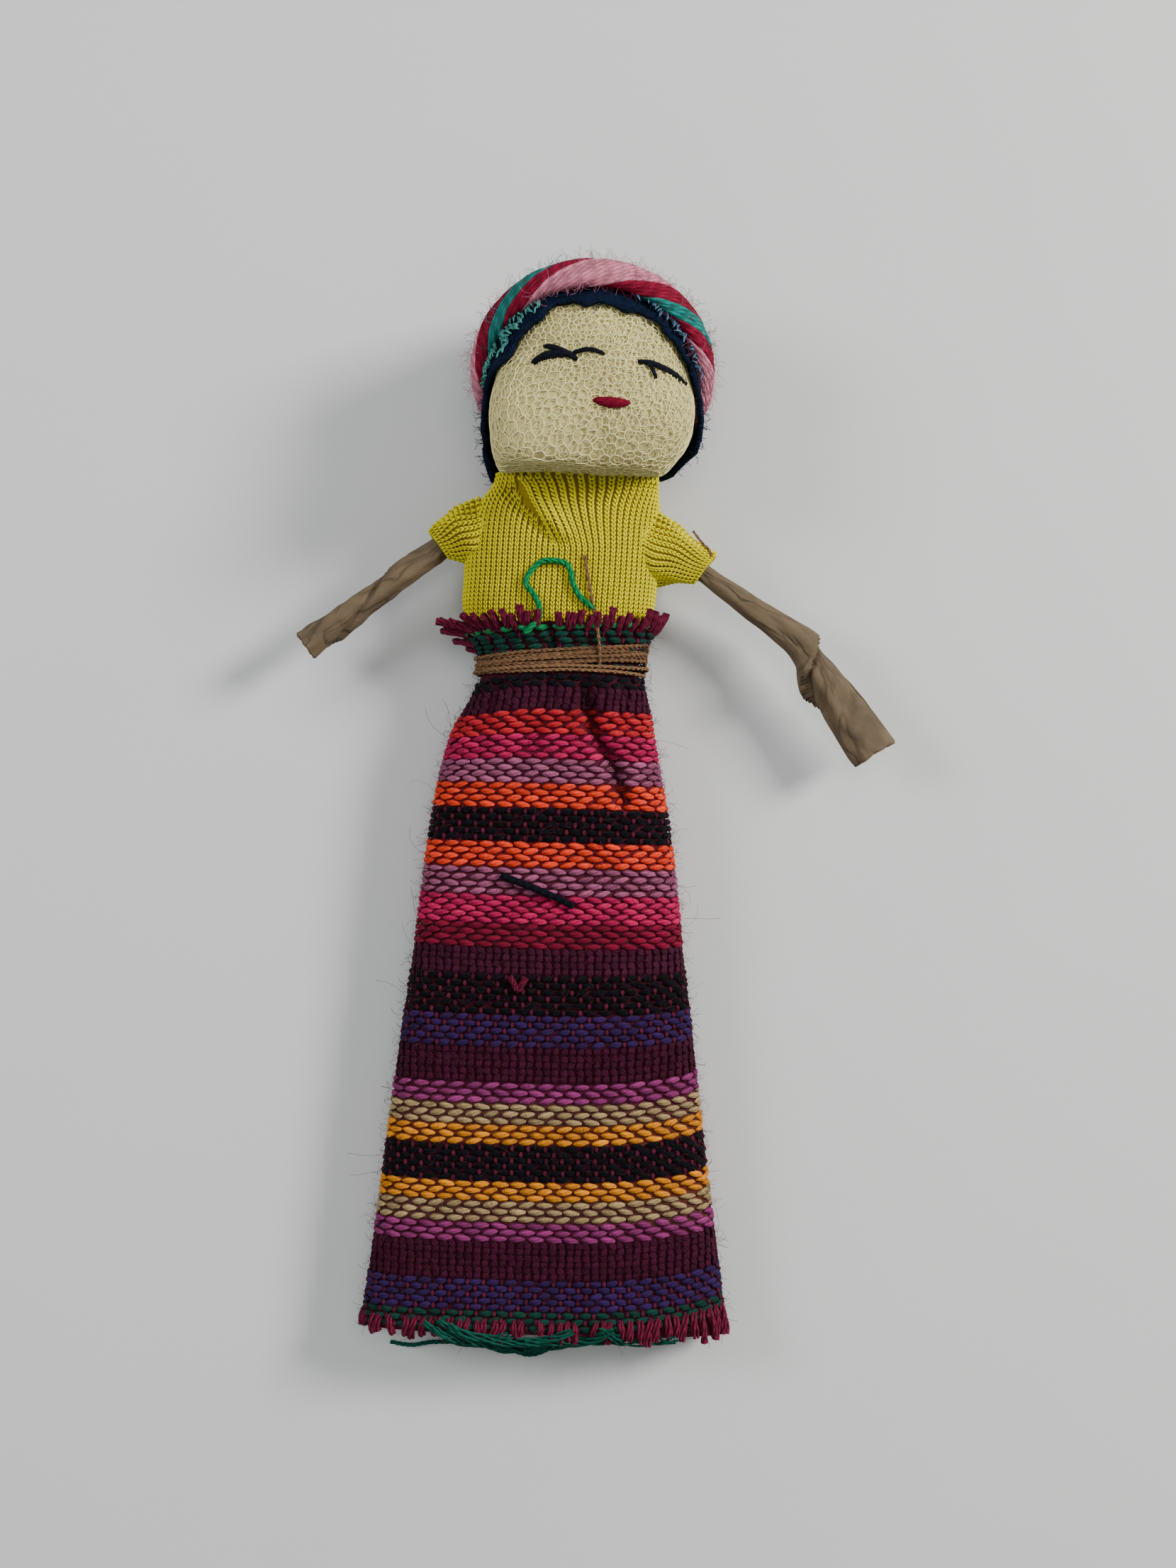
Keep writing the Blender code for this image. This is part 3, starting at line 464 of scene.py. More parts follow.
for label, dyeName, twist, plies in (
        ("pink_yarn", "pink", 3400.0, 2.0), ("red_yarn", "red", 3400.0, 2.0),
        ("teal_yarn", "teal", 3400.0, 2.0), ("tan_thread", "tan", 7000.0, 2.0),
        ("green_yarn", "leafGreen", 5000.0, 2.0), ("dark_green_yarn", "strand", 5000.0, 2.0),
        ("black_thread", "ink", 5000.0, 2.0), ("crimson_thread", "mouth", 5000.0, 2.0),
        ("maroon_warp", "warp", 5000.0, 2.0), ("teal_fleck", "fleck", 4000.0, 2.0),
        ("sky_fleck", "sky", 4000.0, 2.0)):
    threadFinishes[label] = yarnFinish(label, colour=dye[dyeName], twist=twist, plies=plies,
                                       plyDepth=0.6, fibreScale=4200.0, fibreDepth=0.35, fade=0.4,
                                       bump=0.0002)


def grainFinish(name, colour, stretch, scale, contrast, rough, bump, metallic=0.0):
    made, tree, shader = newFinish(name)
    laid = node(tree, "ShaderNodeMapping", {"Vector": objectPlace(tree), "Scale": stretch})
    grain = node(tree, "ShaderNodeTexNoise", {"Vector": laid.outputs[0], "Scale": scale,
                                              "Detail": 5.0, "Roughness": 0.6})
    level = calc(tree, "MULTIPLY_ADD", calc(tree, "SUBTRACT", grain.outputs["Fac"], 0.5), contrast, 1.0)
    tree.links.new(vecCalc(tree, "SCALE", colour[:3], scale=level), shader.inputs["Base Color"])
    feed(tree, shader.inputs["Roughness"], calc(tree, "MULTIPLY_ADD", grain.outputs["Fac"], 0.2, rough))
    dent = node(tree, "ShaderNodeBump", {"Height": grain.outputs["Fac"], "Distance": bump})
    tree.links.new(dent.outputs[0], shader.inputs["Normal"])
    shader.inputs["Metallic"].default_value = metallic
    return made


birchFinish = grainFinish("birch_wood", dye["birch"], (6.0, 0.5, 6.0), 300.0, 0.5, 0.5, 0.0001)
wireFinish = grainFinish("dark_wire", dye["steel"], (1.0, 1.0, 1.0), 2500.0, 0.8, 0.35, 0.00002, 0.8)


def paperFinish():
    made, tree, shader = newFinish("kraft_paper")
    along, around, place = marked(tree, "along"), marked(tree, "around"), objectPlace(tree)
    sheetPlace = node(tree, "ShaderNodeCombineXYZ",
                      {0: calc(tree, "MULTIPLY", along, 0.35), 1: calc(tree, "MULTIPLY", around, 0.011)})
    pulp = node(tree, "ShaderNodeTexNoise", {"Vector": place, "Scale": 1500.0, "Detail": 6.0,
                                             "Roughness": 0.7})
    crease = node(tree, "ShaderNodeTexNoise", {"Vector": sheetPlace.outputs[0], "Scale": 330.0,
                                               "Detail": 2.0, "Distortion": 0.6})
    patch = node(tree, "ShaderNodeTexNoise", {"Vector": place, "Scale": 230.0, "Detail": 3.0})
    # darker along the crease lines, which the bump also dents: painted shade in the creases
    folds = calc(tree, "ABSOLUTE", calc(tree, "SUBTRACT", crease.outputs["Fac"], 0.5))
    line = calc(tree, "MINIMUM", calc(tree, "MULTIPLY", folds, 14.0), 1.0)
    level = calc(tree, "ADD", calc(tree, "MULTIPLY_ADD", line, 0.28, 0.66),
                 calc(tree, "ADD", calc(tree, "MULTIPLY_ADD", pulp.outputs["Fac"], 0.35, -0.17),
                      calc(tree, "MULTIPLY_ADD", patch.outputs["Fac"], 0.8, -0.4)))
    tree.links.new(vecCalc(tree, "SCALE", dye["kraft"][:3], scale=level), shader.inputs["Base Color"])
    feed(tree, shader.inputs["Roughness"], calc(tree, "MULTIPLY_ADD", pulp.outputs["Fac"], 0.3, 0.6))
    height = calc(tree, "ADD", calc(tree, "MULTIPLY", line, 0.5),
                  calc(tree, "MULTIPLY", pulp.outputs["Fac"], 0.3))
    dent = node(tree, "ShaderNodeBump", {"Height": height, "Distance": 0.0003})
    tree.links.new(dent.outputs[0], shader.inputs["Normal"])
    shader.inputs["Specular IOR Level"].default_value = 0.3
    return made


kraftFinish = paperFinish()
print("doll: trees and finishes ready")


# curves that threads follow
def threadSource(name, routes, closed=False):
    curve = bpy.data.curves.new(name, "CURVE")
    curve.dimensions = "3D"
    for route in routes:
        line = curve.splines.new("POLY")
        line.points.add(len(route) - 1)
        for point, place in zip(line.points, route):
            point.co = (place[0], place[1], place[2], 1.0)
        line.use_cyclic_u = closed
    return curve


def smoothRoute(points, steps):
    points = [Vector(p) for p in points]
    route = []
    for k in range(len(points) - 1):
        p0, p1 = points[max(k - 1, 0)], points[k]
        p2, p3 = points[k + 1], points[min(k + 2, len(points) - 1)]
        for i in range(steps):
            t = i / steps
            route.append(0.5 * (2 * p1 + (p2 - p0) * t + (2 * p0 - 5 * p1 + 4 * p2 - p3) * t**2
                                + (3 * p1 - p0 - 3 * p2 + p3) * t**3))
    route.append(points[-1])
    return route


def yarn(name, routes, finish, strands=2, radius=0.2, spread=0.15, twist=2500.0, wobble=0.05,
         centre=(0, 0, -1), sides=6, step=0.5, closed=False, across=None, first=0.0, sweep=2 * math.pi):
    return grow(name, threadSource(name, routes, closed), yarnBundle, {
        "Strands": strands, "First Angle": first, "Sweep": sweep, "Radial": spread * mm,
        "Across": (spread if across is None else across) * mm, "Twist": twist,
        "Strand Radius": radius * mm, "Sides": sides, "Centre": centre, "Wobble": wobble * mm,
        "Step": step * mm, "Finish": finish})


def place(piece, body, slot, *nodes):
    if body:
        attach(piece, body)
    if nodes:
        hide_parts(*nodes)
    return piece


# loose strand under the hem
hemStrand = {"hemY": -72.4, "low": 0.45, "diameter": 0.7, "strands": 3, "radius": 0.17, "spots": [
    (16.5, -.8, 3.2), (13.4, -1.5, 1.6), (10.8, -2.7, .3), (8.0, -3.0, 0), (4.6, -2.2, 0),
    (2.2, -2.7, 0), (.4, -4.3, 0), (-2.0, -5.1, 0), (-4.3, -4.6, 0), (-6.6, -4.1, 0),
    (-8.9, -3.2, 0), (-12.1, -3.5, 0), (-15.9, -3.6, 0), (-19.0, -4.1, 0), (-21.9, -3.7, 0)]}

strandRoute = smoothRoute([(x * mm, (hemStrand["hemY"] + y) * mm, (hemStrand["low"] + z) * mm)
                           for x, y, z in hemStrand["spots"]], 4)
looseStrand = yarn("hem_loose_strand", [strandRoute], threadFinishes["dark_green_yarn"],
                   strands=hemStrand["strands"], radius=hemStrand["radius"],
                   spread=hemStrand["radius"], twist=2600.0)
place(looseStrand, "root", "dark_green_yarn", "hem_loose_thread")


hemTangle = {"seed": 31, "stray": 0.25, "strands": 5, "radius": 0.16, "spread": 0.42, "routes": [
    [(-12.5, -71.2, 11.6), (-8.4, -73.4, 9.5), (-4.1, -75.6, 6), (3.3, -73.2, 9), (10.6, -72, 11)],
    [(-14.8, -70.0, 11.9), (-11, -71.9, 11.6), (-4, -73.0, 10.6), (5, -72.8, 10), (11, -73.4, 8)],
    [(-13, -70.6, 11.9), (-9.5, -73.0, 10.4), (-5.5, -74.8, 7.5), (-1.5, -75.4, 6),
     (2.5, -73.9, 8.5), (7, -72.4, 11), (9.5, -71, 11.9)],
    [(-15.4, -71.4, 11.6), (-12.6, -72.8, 10.6), (-9.8, -74.6, 7), (-6.5, -74.2, 7.5),
     (-3, -73.2, 9.6), (1, -72.4, 11.2), (4, -71.2, 11.9)],
    [(-16.4, -70.6, 11.8), (-13.5, -71.9, 11.6), (-10.5, -73.3, 10), (-7.5, -73.2, 10),
     (-5, -72.2, 11.5)],
    [(8, -71.2, 11.8), (11.5, -72.6, 10), (15.5, -73, 8.5), (18, -72.1, 10.5)]]}

tangleSource = random.Random(hemTangle["seed"])
tangle = [smoothRoute([Vector([c + tangleSource.uniform(-1, 1) * hemTangle["stray"] for c in spot]) * mm
                       for spot in spots], 5)
          for spots in hemTangle["routes"]]
place(yarn("hem_tangle", tangle, threadFinishes["dark_green_yarn"], strands=hemTangle["strands"],
           radius=hemTangle["radius"], spread=hemTangle["spread"], twist=420.0, wobble=1.0, sides=5),
      "root", "dark_green_yarn")


# light and table
table = {"width": 3.0, "colour": (198, 199, 198), "gloss": 0.2, "sky": 0.36,
         "skyTint": (0.93, 0.97, 1.0, 1.0)}  # width in metres
lamps = {  # place and width in metres, power in watts, tint
    "windowLamp": ((0.6, 0.3, 0.42), 0.2, 9.2, (1.0, 0.98, 0.95)),
    "ceilingLamp": ((0.1, 0.4, 1.5), 0.8, 7.0, (1.0, 0.98, 0.95)),
    "fillLamp": ((-0.55, 0.2, 0.45), 0.25, 2.7, (0.95, 0.98, 1.0))}

floorFinish, floorTree, floorShader = newFinish("pale_table")
floorSpeck = node(floorTree, "ShaderNodeTexNoise",
                  {"Vector": objectPlace(floorTree), "Scale": 40.0, "Detail": 4.0})
floorLevel = calc(floorTree, "MULTIPLY_ADD", floorSpeck.outputs["Fac"], 0.03, 0.985)
floorTree.links.new(vecCalc(floorTree, "SCALE", linear(*table["colour"])[:3], scale=floorLevel),
                    floorShader.inputs["Base Color"])
feed(floorTree, floorShader.inputs["Roughness"],
     calc(floorTree, "MULTIPLY_ADD", floorSpeck.outputs["Fac"], 0.1, 0.5))
floorShader.inputs["Specular IOR Level"].default_value = table["gloss"]
half = table["width"] / 2
floor = meshPiece("table_top", [(-half, -half, 0), (half, -half, 0), (half, half, 0), (-half, half, 0)],
                  [(0, 1, 2, 3)], floorFinish, smooth=False)

sky = bpy.data.worlds.new("softRoom")
sky.use_nodes = True
sky.node_tree.nodes["Background"].inputs[0].default_value = table["skyTint"]
sky.node_tree.nodes["Background"].inputs[1].default_value = table["sky"]
bpy.context.scene.world = sky

for name, (spot, width, power, tint) in lamps.items():
    lamp = bpy.data.lights.new(name, "AREA")
    lamp.shape, lamp.size, lamp.energy, lamp.color = "SQUARE", width, power, tint
    stand = bpy.data.objects.new(name, lamp)
    stand.location = spot
    stand.rotation_euler = (-stand.location).to_track_quat("-Z", "Y").to_euler()
    bpy.context.collection.objects.link(stand)


# body sections, all in millimetres
def along(table, s):  # smooth reading between the rows of a table
    rows = sorted(table)
    s = min(max(s, rows[0][0]), rows[-1][0])
    k = 0
    while k < len(rows) - 2 and s > rows[k + 1][0]:
        k += 1
    before, low = rows[max(k - 1, 0)], rows[k]
    high, after = rows[k + 1], rows[min(k + 2, len(rows) - 1)]
    span = high[0] - low[0]
    t = (s - low[0]) / span
    values = []
    for c in range(1, len(low)):
        riseLow = (high[c] - before[c]) / (high[0] - before[0]) * span
        riseHigh = (after[c] - low[c]) / (after[0] - low[0]) * span
        values.append((2 * t**3 - 3 * t**2 + 1) * low[c] + (t**3 - 2 * t**2 + t) * riseLow
                      + (3 * t**2 - 2 * t**3) * high[c] + (t**3 - t**2) * riseHigh)
    return values


torso = {"tie": 20.4, "middle": 7.4, "table": [
    # height over the tie, shift, half width, half depth, lift
    (-3.6, 0, 10.0, 4.9, 0), (-1.7, 0, 10.2, 4.9, 0), (1.7, 0, 10.2, 4.9, 0),
    (6.6, -.5, 12.8, 6.2, 0), (11.8, -.3, 13.2, 6.5, 0), (18.9, 0, 13.1, 6.5, 0),
    (22.0, .5, 12.5, 6.3, .2), (24.4, 1.4, 11.4, 6.2, .8), (26.6, 1.7, 11.0, 6.3, 1.6)]}


def torsoSection(y):
    shift, width, depth, lift = along(torso["table"], y - torso["tie"])
    return shift, torso["middle"] + lift, width, depth, 2.3


def ovalPoint(section, turn, extra):  # x and z on a section's outline, moved outward by extra
    shift, middle, width, depth, power = section
    c, s = math.cos(turn), math.sin(turn)
    return (shift + (width + extra) * math.copysign(abs(c) ** (2 / power), c),
            middle + (depth + extra) * math.copysign(abs(s) ** (2 / power), s))


skirt = {"drop": 92.8, "collar": 5.6, "waistWidth": 11.3, "waistDepth": 5.9, "hemWidth": 25.6,
         "hemHeight": 10.0, "crease": [(3.2, 18.2), (4.2, 14.5), (6.2, 10.5), (9.0, 6.5), (10.5, 2.0)],
         "share": [(0, 0), (.02, .01), (.045, .05), (.08, .14), (.13, .235), (.22, .345), (.44, .53),
                   (.65, .70), (.87, .89), (1, 1)],
         "power": [(0, 2.3), (.1, 2.5), (1, 2.9)],
         "heights": [(0, 13.3, 1.5, 0), (.045, 13.3, 1.5, 0), (.11, 12.6, -.2, -.9),
                     (.22, 11.8, -.2, -.9), (.60, 10.8, -.2, -.5), (1, 10.4, -.2, 0)]}


def skirtSection(y):
    drop = torso["tie"] - y
    if drop < 1.7:
        shift, middle, width, depth, power = torsoSection(min(y, torso["tie"] + 6))
        flare = 0.7 * max(0.0, -drop / skirt["collar"])
        return shift - 0.6 * flare, middle, width + 1.0 + flare, depth + 1.0 + flare, power
    opened = along(skirt["share"], drop / skirt["drop"])[0]
    width = skirt["waistWidth"] + (skirt["hemWidth"] - skirt["waistWidth"]) * opened
    front, back, shift = along(skirt["heights"], drop / skirt["drop"])
    power = along(skirt["power"], drop / skirt["drop"])[0]
    return shift, (front + back) / 2, width, (front - back) / 2, power


def clothSurface(section, low, high, floor=None, relief=None):  # place and directions at arc s, height y
    step = 0.25
    rows = np.arange(low - 1, high + 1 + step / 2, step)
    arcs = np.arange(-66.0, 66.1, 0.5)
    grid = np.zeros((len(rows), len(arcs), 3))
    halves = np.zeros(len(rows))
    turn = np.linspace(1.5 * math.pi, -0.5 * math.pi, 361)
    c, s = np.cos(turn), np.sin(turn)
    for k, y in enumerate(rows):
        shift, middle, width, depth, power = section(float(min(max(y, low), high)))
        x = shift + width * np.sign(c) * np.abs(c) ** (2 / power)
        z = middle + depth * np.sign(s) * np.abs(s) ** (2 / power)
        if floor is not None:
            z = np.maximum(z, floor)
        run = np.concatenate([[0], np.cumsum(np.hypot(np.diff(x), np.diff(z)))])
        run -= run[180]
        halves[k] = min(-run[0], run[-1])
        grid[k, :, 0] = np.interp(arcs, run, x)
        grid[k, :, 1] = y
        grid[k, :, 2] = np.interp(arcs, run, z)

    def sample(s, y):
        s, y = np.broadcast_arrays(np.asarray(s, float), np.asarray(y, float))
        u = np.clip((s + 66) / 0.5, 0, len(arcs) - 1.001)
        v = np.clip((y - rows[0]) / step, 0, len(rows) - 1.001)
        i, j = u.astype(int), v.astype(int)
        fu, fv = (u - i)[..., None], (v - j)[..., None]
        return ((grid[j, i] * (1 - fu) + grid[j, i + 1] * fu) * (1 - fv)
                + (grid[j + 1, i] * (1 - fu) + grid[j + 1, i + 1] * fu) * fv)

    def frameAt(s, y, lift=0.0):
        s, y = np.broadcast_arrays(np.asarray(s, float), np.asarray(y, float))
        h = 0.6
        side = sample(s + h, y) - sample(s - h, y)
        rise = sample(s, y + h) - sample(s, y - h)
        side /= np.maximum(np.linalg.norm(side, axis=-1, keepdims=True), 1e-6)
        rise /= np.maximum(np.linalg.norm(rise, axis=-1, keepdims=True), 1e-6)
        out = np.cross(side, rise)
        out /= np.maximum(np.linalg.norm(out, axis=-1, keepdims=True), 1e-6)
        spot = sample(s, y)
        if relief is not None:
            bump = relief(s, y)
            tiltS = (relief(s + h, y) - relief(s - h, y)) / (2 * h)
            tiltY = (relief(s, y + h) - relief(s, y - h)) / (2 * h)
            spot = spot + out * bump[..., None]
            side = side + out * tiltS[..., None]
            rise = rise + out * tiltY[..., None]
            side /= np.maximum(np.linalg.norm(side, axis=-1, keepdims=True), 1e-6)
            rise = rise - side * np.sum(side * rise, axis=-1, keepdims=True)
            rise /= np.maximum(np.linalg.norm(rise, axis=-1, keepdims=True), 1e-6)
            out = np.cross(side, rise)
        return spot + out * (np.asarray(lift)[..., None] if np.ndim(lift) else lift), side, rise, out

    def halfAt(y):
        return np.interp(y, rows, halves)
    return frameAt, halfAt


def oneSpot(surface, s, y, lift):
    return [v[0] for v in surface(np.array([s]), np.array([y]), lift)]


def waves(s, y, seed, scale):
    s, y = np.broadcast_arrays(np.asarray(s, float), np.asarray(y, float))
    total = np.zeros(s.shape)
    source = np.random.default_rng(seed)
    for _ in range(7):
        ks, ky = source.normal(0, 1, 2) / scale
        total += np.sin(ks * s + ky * y + source.uniform(0, 6.28))
    return total / 7  # seven waves in seeded directions, for slow unevenness


def eulerOf(side, rise, out):  # turn that lays a stitch along these three directions
    return tuple(Matrix((side, rise, out)).transposed().to_euler())


def coverPoints(name, rows):  # each row: place, turn, size, colour, tone of one stitch
    places, turns, sizes, colours, tones = zip(*rows)
    mesh = bpy.data.meshes.new(name)
    mesh.from_pydata([tuple(float(c) * mm for c in place) for place in places], [], [])
    markPoints(mesh, "FLOAT_VECTOR", "vector", turn=turns, size=sizes)
    markPoints(mesh, "FLOAT_COLOR", "color", yarnColour=colours)
    markPoints(mesh, tone=tones)
    return mesh


# stitch shapes: one float of weft, one knitted loop
def ringShape(name, paths, sides):  # closed tubes through x, y, z with radius and flatness
    points, faces, alongs, arounds = [], [], [], []
    for path in paths:
        first = len(points)
        for k, (x, y, z, radius, flat) in enumerate(path):
            ahead = Vector(path[min(k + 1, len(path) - 1)][:3]) - Vector(path[max(k - 1, 0)][:3])
            ahead.normalize()
            level = Vector((-ahead.y, ahead.x, 0)).normalized()
            top = ahead.cross(level)
            for j in range(sides):
                turn = 2 * math.pi * j / sides
                points.append(Vector((x, y, z)) + level * math.cos(turn) * radius
                              + top * math.sin(turn) * radius * flat)
                alongs.append(k / (len(path) - 1))
                arounds.append(j / sides)
        for k in range(len(path) - 1):
            for j in range(sides):
                a, b = first + k * sides + j, first + k * sides + (j + 1) % sides
                faces.append((a, b, b + sides, a + sides))
        faces.append([first + sides - 1 - j for j in range(sides)])
        faces.append([first + (len(path) - 1) * sides + j for j in range(sides)])
    piece = meshPiece(name, points, faces)
    markPoints(piece.data, along=alongs, around=arounds)
    bpy.context.collection.objects.unlink(piece)
    return piece


floatStitch = ringShape("floatStitch", [[(-.5, -.1, -.5, .1, .8), (-.3, -.05, 0, .37, .8),
                                         (0, 0, .12, .5, .8), (.3, .05, 0, .37, .8),
                                         (.5, .1, -.5, .1, .8)]], 7)
plainStitch = ringShape("plainStitch", [[(-.5, 0, -.35, .2, .8), (0, 0, .1, .5, .8),
                                         (.5, 0, -.35, .2, .8)]], 5)
knitStitch = ringShape("knitStitch", [
    [(.03, -.7, -.5, .06, 1), (.11, -.3, .1, .165, 1), (.25, .2, .2, .17, 1), (.33, .66, -.4, .08, 1)],
    [(-.03, -.7, -.5, .06, 1), (-.11, -.3, .1, .165, 1), (-.25, .2, .2, .17, 1),
     (-.33, .66, -.4, .08, 1)]], 5)


# skirt
def foldLine(s, y, points, width, depth):  # a soft groove along a line of points
    best = np.full(np.broadcast(s, y).shape, 1e9)
    for (x0, y0), (x1, y1) in zip(points, points[1:]):
        dx, dy = x1 - x0, y1 - y0
        t = np.clip(((s - x0) * dx + (y - y0) * dy) / (dx * dx + dy * dy), 0, 1)
        best = np.minimum(best, np.hypot(s - x0 - t * dx, y - y0 - t * dy))
    return -depth * np.exp(-(best / width) ** 2)


def skirtRelief(s, y):
    relief = 0.32 * waves(s, y, 5, 7.0) * np.clip((17 - y) / 12, 0, 1)
    relief = relief + foldLine(s, y, skirt["crease"], 0.95, 1.9) * np.clip((18.8 - y) / 4.5, 0.2, 1)
    relief = relief + foldLine(s, y, [(-1.4, 18.2), (-1.8, 14.0), (-2.5, 9.0)], 0.9, 0.55)
    relief = relief + foldLine(s, y, [(9.0, 18.2), (10.2, 12.0)], 0.8, 0.5)
    relief = relief + foldLine(s, y, [(-8.5, 18.0), (-9.8, 12.5)], 0.9, 0.5)
    relief = relief + foldLine(s, y, [(-.8, 22.4), (-.9, 26.5)], 0.55, 0.9)
    return relief


skirtAt, skirtHalf = clothSurface(skirtSection, -72.6, 26.4, floor=0.35, relief=skirtRelief)

weave = {"seed": 21, "top": 19.18, "dotShare": 0.8, "stripes": [  # lower edge, dye, rows, kind
    (17.33, "charcoal", 2, "fuzzy"), (14.21, "plum", 4, "rib"), (10.80, "coral", 4, "float"),
    (7.39, "magenta", 4, "float"), (3.98, "lilac", 4, "float"), (.56, "orange", 4, "float"),
    (-4.02, "black", 5, "fuzzy"), (-7.53, "orange", 4, "float"), (-11.43, "lilac", 4, "float"),
    (-15.33, "magenta", 5, "float"), (-18.74, "crimson", 4, "float"), (-22.44, "plum", 4, "rib"),
    (-28.00, "black", 6, "fuzzy"), (-32.48, "violet", 5, "cluster"), (-37.26, "maroon", 5, "rib"),
    (-40.19, "orchid", 3, "float"), (-43.11, "beige", 3, "float"), (-45.94, "gold", 3, "float"),
    (-51.01, "black", 6, "fuzzy"), (-53.74, "gold", 3, "float"), (-56.76, "beige", 3, "float"),
    (-59.49, "orchid", 3, "float"), (-64.66, "maroon", 6, "rib"), (-68.95, "violet", 5, "cluster"),
    (-71.8, "deepGreen", 3, "fuzzy")],
    "kinds": {  # distance between floats, their length, width and height
        "float": (2.5, 1.98, 0.94, 0.8), "fuzzy": (2.3, 1.9, 1.0, 0.55),
        "cluster": (2.36, 1.85, 1.0, 0.7), "rib": (1.16, 1.12, 1.04, 0.5)}}


def rowRise(s, y):  # rows curve up at the right of the hem and down at the left of the waist
    low = np.clip((-y - 5) / 35, 0, 1)
    high = np.clip((y - 4) / 12, 0, 1)
    return 2.6 * low * np.clip(s / 25, 0, 1.2) ** 2.2 + 0.3 * waves(s, y, 8, 11.0) \
        - 1.5 * high * np.clip((-s - 2) / 11, 0, 1) ** 1.5


def weaveRows():
    rows, top = [], weave["top"]
    for low, name, count, kind in weave["stripes"]:
        for r in range(count):
            rows.append((top - (r + 0.5) * (top - low) / count, name, kind))
        top = low
    return rows


def jittered(colour, source, amount):  # lighter or darker by chance
    level = 1 + source.uniform(-amount, amount)
    return tuple(c * level for c in colour[:3]) + (1.0,)


def makeSkirt():
    source = random.Random(weave["seed"])
    front, back = [], []
    for index, (y, name, kind) in enumerate(weaveRows()):
        period, length, width, height = weave["kinds"][kind]
        reach = float(skirtHalf(y)) + 0.4
        count = int(reach // period) + 1
        shift = 0.5 * period * (index % 2) * (kind != "rib")
        arcs = np.array([j * period + shift for j in range(-count, count + 1)])
        arcs = arcs[np.abs(arcs) < reach]
        arcs = arcs + np.array([source.uniform(-.12, .12) for _ in arcs])
        heights = y + rowRise(arcs, np.full(arcs.shape, y))
        spots, sides, rises, outs = skirtAt(arcs, heights, 0.0)
        # colour darkened along the main crease: painted shade in the fold
        paintedCreaseShades = 1 + 0.5 * foldLine(arcs, heights, skirt["crease"], 1.0, 1.0)
        for spot, side, rise, out, shade in zip(spots, sides, rises, outs, paintedCreaseShades):
            tilt = source.uniform(-.15, .15) + (0.42 if kind == "rib" else 0.1) * (-1) ** index
            side, rise = side + rise * tilt, rise - side * tilt
            if kind == "rib":
                side, rise = rise, -side
            target = front if out[2] > -0.25 else back
            size = (length * source.uniform(.92, 1.08) * mm, width * source.uniform(.92, 1.1) * mm,
                    height * source.uniform(.85, 1.15) * mm)
            target.append((spot, eulerOf(side, rise, out), size,
                           jittered([c * shade for c in dye[name]], source, 0.16), source.random()))
        if kind in ("fuzzy", "cluster") and name != "charcoal":
            dots = arcs + 0.5 * period
            dots = dots[np.abs(dots) < reach]
            spots, sides, rises, outs = skirtAt(dots, y + rowRise(dots, np.full(dots.shape, y)), 0.16)
            for spot, side, rise, out in zip(spots, sides, rises, outs):
                if out[2] > -0.1 and source.random() < weave["dotShare"]:  # warp dots between floats
                    front.append((spot, eulerOf(rise, -side, out), (.72 * mm, .6 * mm, .6 * mm),
                                  jittered(dye["dot"], source, 0.3), source.random()))
    frontPiece = grow("skirt_weft_front", coverPoints("frontSpots", front), clothCover,
                      {"Stitch": floatStitch, "Finish": clothFinish})
    backPiece = grow("skirt_weft_back", coverPoints("backSpots", back), clothCover,
                     {"Stitch": plainStitch, "Finish": clothFinish})
    print("doll: weft floats", len(front), len(back))
    return frontPiece, backPiece


def stripeColour(y):
    if y > weave["top"]:
        return dye["deepGreen"]
    for low, name, *_ in weave["stripes"]:
        if y > low:
            return dye[name]
    return dye["warp"]


def clothSheet(name, frameAt, halfAt, rows, columns, lift, finish, colourOf):
    points, colours = [], []
    for y in rows:
        reach = float(halfAt(y)) * 0.999
        arcs = np.linspace(-reach, reach, columns, endpoint=False)
        spots, *_ = frameAt(arcs, y + np.zeros(arcs.shape), lift)
        for spot in spots:
            points.append(Vector(spot) * mm)
            colours.append(colourOf(y))
    piece = meshPiece(name, points, quadRows(len(rows), columns), finish)
    markPoints(piece.data, "FLOAT_COLOR", "color", yarnColour=colours)
    return piece


def warpMix(y):  # what shows between the floats: the warp's colour with a little of the stripe's, darkened to two thirds as painted shade in the gaps
    return tuple(0.12 * a + 0.55 * b for a, b in zip(stripeColour(y)[:3], dye["warp"][:3])) + (1.0,)


skirtWeft, skirtWeftBack = makeSkirt()
skirtCloth = {"low": -72.2, "high": 26.3, "step": 0.45, "columns": 150, "sink": 0.25,
              "flat": (0.118, 0.0984)}  # flat size in metres
skirtSheet = clothSheet("skirt_cloth", skirtAt, skirtHalf,
                        np.arange(skirtCloth["low"], skirtCloth["high"], skirtCloth["step"]),
                        skirtCloth["columns"], -skirtCloth["sink"], clothFinish, warpMix)


def edgeTufts(name, rows, finish, strands=5):  # rows: arc, height, length, lean, curl
    routes = []
    for s, y, length, lean, lift in rows:
        spot, side, rise, out = (Vector(v) for v in oneSpot(skirtAt, s, y, -0.1))
        sign = 1 if length > 0 else -1
        ahead = (rise * sign + side * lean).normalized()
        size = abs(length)
        routes.append([(spot + (ahead * size * t + out * (lift * t * t + 0.35 * math.sin(3 * t))
                                + side * 0.12 * math.sin(5 * t + s))) * mm
                       for t in (0, .25, .5, .75, 1)])
    return yarn(name, routes, finish, strands=strands, radius=0.235, spread=0.31, twist=700.0,
                wobble=0.4, step=0.5, sides=5)


